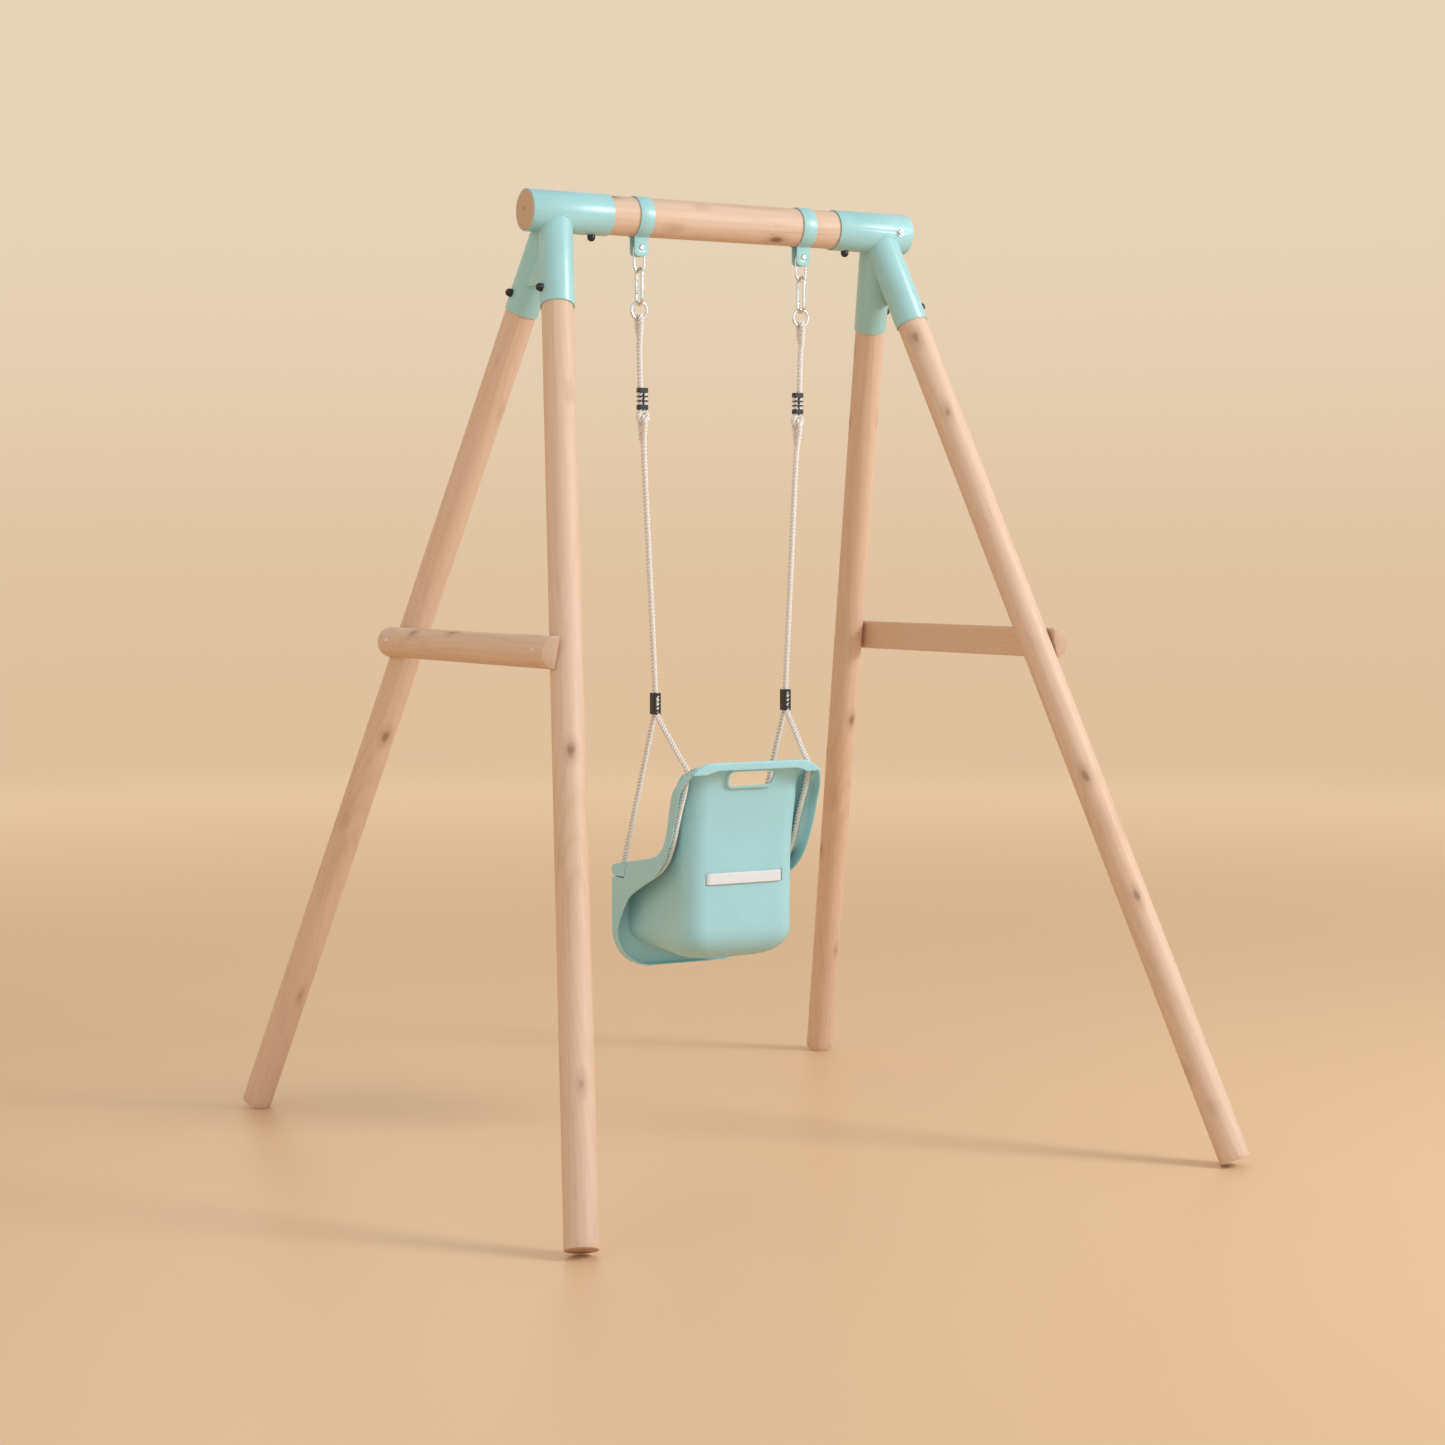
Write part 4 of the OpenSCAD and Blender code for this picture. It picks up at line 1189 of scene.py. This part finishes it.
def tub_body(inset, front):
    """The bucket as a closed body: round heel, round edges, round rear corners, leaning back."""
    back = side_line(BACK)
    low = PAN_Z + inset
    rise = [low + TUB_EDGE * (1 - math.cos(a)) for a in np.radians(np.arange(0, 91, 10))]
    levels = rise + list(np.arange(rise[-1] + 0.012, 1.03, 0.014)) + [1.034]
    edge, heel = TUB_EDGE - inset, HEEL_RADIUS - inset
    points = []
    for z in levels:
        h = z - low
        side_in = edge - math.sqrt(max(edge**2 - max(edge - h, 0) ** 2, 0))
        heel_in = heel - math.sqrt(max(heel**2 - max(heel - h, 0) ** 2, 0))
        t = min(max((z - 0.72) / 0.22, 0), 1)
        w = TUB_WIDTH / 2 + 0.007 * t * t * (3 - 2 * t) - inset - side_in
        rear = float(np.interp(z, back[:, 1], back[:, 0])) - inset - heel_in
        r = TUB_CORNER - inset + 0.25 * min(side_in, heel_in)
        half_way = (front + rear - r) / 2
        outline = [(-w, front), (0, front), (w, front), (w, half_way)]
        outline += arc_points(w - r, rear - r, r, 0, 90, 14) + [(0, rear)]
        outline += arc_points(r - w, rear - r, r, 90, 180, 14) + [(-w, half_way)]
        fade = max(0.0, 1 - h / 0.12)
        for x, y in outline:
            points.append((x, y, z + PAN_RISE * fade * min(max((0.033 - y) / 0.25, 0), 1)))
    n = len(points) // len(levels)
    middle = len(points)
    points += [(0, (front + 0.03) / 2, low + PAN_RISE * 0.48), (0, 0, levels[-1])]
    last = middle - n
    faces = tube_faces(len(levels), n)
    faces += [((k + 1) % n, k, middle) for k in range(n)]
    faces += [(last + k, last + (k + 1) % n, middle + 1) for k in range(n)]
    return solid(points, faces)


def guard_back(z, gap):
    """A point this far behind the guard bar's sloping back, as (y, z)."""
    return (GUARD_BACK + gap + (z - LEDGE_Z) * STRAND_SLOPE, z)


def pairs(line):
    return [tuple(p) for p in line]


def mirrored(x0, x1):
    """The same span of x on both sides, each from low to high."""
    return [sorted((s * x0, s * x1)) for s in (1, -1)]


def flanges(rim, wing, outline):
    """The ribbons from the tub out to the skirt: an inner wing, an outer rim and the step between."""
    half = SEAT_WIDTH / 2
    made = []
    for line, other, x0, x1 in (
        (wing, beside(wing, WALL), TUB_WIDTH / 2 - WALL, WING_X),
        (rim, beside(rim, WALL), WING_X - WALL, half),
        (wing, beside(rim, WALL), WING_X - WALL, WING_X),
    ):
        shape = pairs(line) + pairs(other[::-1])
        for low, high in mirrored(x0, x1):
            inside = prism(outline, -BEYOND, BEYOND, False)
            made.append(within(prism(shape, low, high, True), inside))
    return made


def tub_and_skirt(rim, wing, outline, upper_back):
    """The hollow tub, and the skirt round its sides and head."""
    under = PAN_Z - 0.02
    heel_y = BACK[0][0] - HEEL_RADIUS
    side = [(FRONT_Y, under), (heel_y, under), (0.160, under), (0.160, 0.80)]
    side += [(y + 0.03, z) for y, z in upper_back if z > 0.80] + [(0.240, TOP_Z)]
    side += pairs(wing[::-1]) + [(FRONT_Y, 0.728)]
    tub = within(tub_body(0.0, FRONT_Y), prism(side, -0.25, 0.25, True))
    tub = cut(tub, tub_body(WALL, FRONT_Y - 0.05))
    band = [(FRONT_Y, APRON_Z - 0.001), (FRONT_Y, 0.728)] + pairs(rim) + pairs(side_line(SKIRT_EDGE)[::-1])
    skirt = prism(outline, -BEYOND, BEYOND, False)
    skirt = cut(skirt, prism(front_outline(WALL), -0.31, 0.31, False))
    return tub, within(skirt, prism(band, -0.25, 0.25, True))


def arms():
    """Each arm's ledge under the guard bar, with its rope hole, and the wall behind the bar's end."""
    made = []
    under = LEDGE_Z - WALL
    way = Vector((0, STRAND_SLOPE, 1)).normalized()
    for s, (low, high) in zip((1, -1), mirrored(TUB_WIDTH / 2 - WALL, SEAT_WIDTH / 2)):
        ledge = [(FRONT_Y, under), guard_back(under, 0.006), guard_back(LEDGE_Z, 0.006), (FRONT_Y, LEDGE_Z)]
        hole = Vector((s * ROPE_X, -0.175, 0.724))
        hole = rod(hole - way * 0.08, hole, ARM_HOLE_RADIUS)
        made.append(cut(prism(ledge, low, high, True), hole))
        stop = [guard_back(under, BAR_GAP), guard_back(under, BAR_GAP + WALL)]
        stop += [guard_back(0.730, BAR_GAP + WALL), guard_back(0.7295, BAR_GAP)]
        made.append(prism(stop, low, high, True))
    return made


def shell_parts():
    """The thin walls of the moulded shell, each a closed solid; they overlap and are then fused."""
    rim, wing = side_line(RIM), side_line(WING)
    upper_back = [tuple(p) for p in side_line(BACK) if 0.569 < p[1] < TOP_Z]
    outline = front_outline(0)
    pocket = [(-0.4, LEDGE_Z), guard_back(LEDGE_Z, BAR_GAP), guard_back(0.8, BAR_GAP), (-0.4, 0.8)]
    walls = [*tub_and_skirt(rim, wing, outline, upper_back), *flanges(rim, wing, outline)]
    walls = [cut(part, prism(pocket, -BEYOND, BEYOND, True)) for part in walls]
    slot = handle_outline(0.0)
    walls[0] = cut(walls[0], prism(slot, 0.09, 0.22, False))
    belt_slot = rectangle(0.10, BELT_Z - 0.017, 0.14, BELT_Z + 0.017)
    for low, high in mirrored(SLOT_X - 0.003, SLOT_X + 0.003):
        walls[0] = cut(walls[0], prism(belt_slot, low, high, True))

    apron = prism(outline, FRONT_Y, FRONT_Y + WALL, False)
    front_opening = rounded_box(0, LIP_Z + 0.2, TUB_WIDTH - 2 * WALL, 0.4, 0.022)
    for shape in (rectangle(-BEYOND, LEDGE_Z, BEYOND, 1.1), front_opening):
        apron = cut(apron, prism(shape, -BEYOND, 0.0, False))

    collar = prism(handle_outline(COLLAR), 0.100, 0.200, False)
    collar = cut(collar, prism(slot, 0.09, 0.22, False))
    skin = [(y - 0.002, z) for y, z in upper_back] + [(y + COLLAR, z) for y, z in reversed(upper_back)]
    collar = within(collar, prism(skin, -0.1, 0.1, True))

    lip = prism(outline, 0.1865, 0.1905, False)
    lip = cut(lip, prism(front_outline(0.021), 0.18, 0.20, False))
    top = rectangle(0.18, 0.978, 0.20, 1.02)
    lip = within(lip, prism(top, -BEYOND, BEYOND, True))

    parts = [*walls, apron, collar, lip, *arms()]
    way = Vector((0, 0.3, 1)).normalized() * 0.03
    x, y, z = HEAD_HOLE
    for hole in (Vector((x, y, z)), Vector((-x, y, z))):
        parts = [cut(p, rod(hole - way, hole + way, HEAD_HOLE_RADIUS)) for p in parts]
    return parts


def fused(parts, name, voxel, rounds, mat, keep):
    """Joins overlapping solids into one moulded skin with rounded edges and fillets."""
    first = parts[0]
    first.name = name
    with bpy.context.temp_override(active_object=first, selected_editable_objects=parts):
        bpy.ops.object.join()
    return moulded(first, voxel, rounds, mat, keep)


class SWING_OT_seat(bpy.types.Operator):
    """Mould the seat shell and its guard bar"""

    bl_idname = "swing.seat"
    bl_label = "Seat"

    def execute(self, context):
        plastic, voxel = material("moulded"), sizes().shell_voxel
        shell = fused(shell_parts(), "seat_shell_moulded", voxel, 8, plastic, 0.5)
        stands_for(shell, "swing", "mint_plastic", "seat_shell")
        bar = moulded(copy_of("guard_bar", "guard_bar_moulded"), voxel * 0.8, 8, plastic, 0.5)
        stands_for(bar, "guard", "mint_plastic", "guard_bar")
        return {"FINISHED"}


# ---- belt

BELT_HALF = [(0.030, -0.060), (0.072, -0.048), (0.104, -0.014), (0.118, 0.040), (0.117, 0.090)]
BELT_HALF += [(0.1125, 0.110), (0.1115, 0.1175), (0.106, 0.1218), (0.090, 0.1226), (0.045, 0.1228)]
BELT_WIDTH = 0.030
BELT_THICKNESS = 0.0019
BELT_DROOP = math.radians(10)
BELT_PLANE_Y = 0.112


class SWING_OT_belt(bpy.types.Operator):
    """Weave the waist belt and finish its buckle"""

    bl_idname = "swing.belt"
    bl_label = "Waist belt"

    def execute(self, context):
        self.strap()
        for node in ("belt_slider", "buckle_socket", "buckle_tongue"):
            fitting(node, 0.0007, 0.5)
        button = bevelled("buckle_button", "buckle_button_moulded", 0.0008, material("button"))
        stands_for(button, "button", "button_grey", "buckle_button")
        return {"FINISHED"}

    def strap(self):
        """One webbing from the buckle's tongue, through both back slots, to its socket."""
        plan = BELT_HALF + [(0.0, BELT_HALF[-1][1])] + [(-x, y) for x, y in reversed(BELT_HALF)]
        line = side_line(plan, 0.0022)
        along = distance_along(line)
        across = np.linspace(-1, 1, 13)
        edge = np.sqrt(1 - 0.5 * np.abs(across) ** 10)
        loop = list(zip(across, edge)) + list(zip(across[::-1], -edge[::-1]))
        around = len(loop)
        points = []
        for (x, y), (hx, hy) in zip(line, headings(line)):
            flat = min(max((y - BELT_PLANE_Y + 0.03) / 0.03, 0.0), 1.0)
            tilt = BELT_DROOP * (1 - flat)
            run = min(y - BELT_PLANE_Y, 0.0)
            centre_y = y if run == 0 else BELT_PLANE_Y + run * math.cos(BELT_DROOP)
            centre_z = BELT_Z + run * math.sin(BELT_DROOP)
            for w, e in loop:
                out, up = e * BELT_THICKNESS / 2, w * BELT_WIDTH / 2
                rear = centre_y + hx * out - up * math.sin(tilt)
                points.append((x - hy * out, rear, centre_z + up * math.cos(tilt)))
        obj = piece("waist_belt_woven", points, capped_tube(len(line), around), material("webbing"))
        lay = obj.data.uv_layers.new(name="lay")
        for corner, place in zip(obj.data.loops, lay.data):
            ring, k = divmod(corner.vertex_index, around)
            place.uv = (along[ring], loop[k][0] * BELT_WIDTH / 2)
        stands_for(obj, "swing", "webbing", "waist_belt")


# ---- panel


STEPS = (
    SWING_OT_stage,
    SWING_OT_ropes,
    SWING_OT_timber,
    SWING_OT_brackets,
    SWING_OT_hardware,
    SWING_OT_fittings,
    SWING_OT_seat,
    SWING_OT_belt,
)


class SWING_PT_panel(bpy.types.Panel):
    """Settings and building steps of the baby swing"""

    bl_label = "Baby swing"
    bl_idname = "SWING_PT_panel"
    bl_space_type = "VIEW_3D"
    bl_region_type = "UI"
    bl_category = "Swing"

    def draw(self, context):
        for group in ("swing_colours", "swing_sizes", "swing_stage"):
            settings = getattr(context.scene, group)
            box = self.layout.box()
            for name in settings.bl_rna.properties.keys():
                if name not in {"rna_type", "name"}:
                    box.prop(settings, name)
        for step in STEPS:
            self.layout.operator(step.bl_idname)


GROUPS = {"swing_colours": SwingColours, "swing_sizes": SwingSizes, "swing_stage": StageSettings}


def register():
    for cls in (*GROUPS.values(), *STEPS, SWING_PT_panel):
        bpy.utils.register_class(cls)
    for name, cls in GROUPS.items():
        setattr(bpy.types.Scene, name, PointerProperty(type=cls))


def unregister():
    for name in GROUPS:
        delattr(bpy.types.Scene, name)
    for cls in (SWING_PT_panel, *reversed(STEPS), *GROUPS.values()):
        bpy.utils.unregister_class(cls)


def main():
    register()
    for step in STEPS:
        group, name = step.bl_idname.split(".")
        getattr(getattr(bpy.ops, group), name)()


if __name__ == "__main__":
    main()
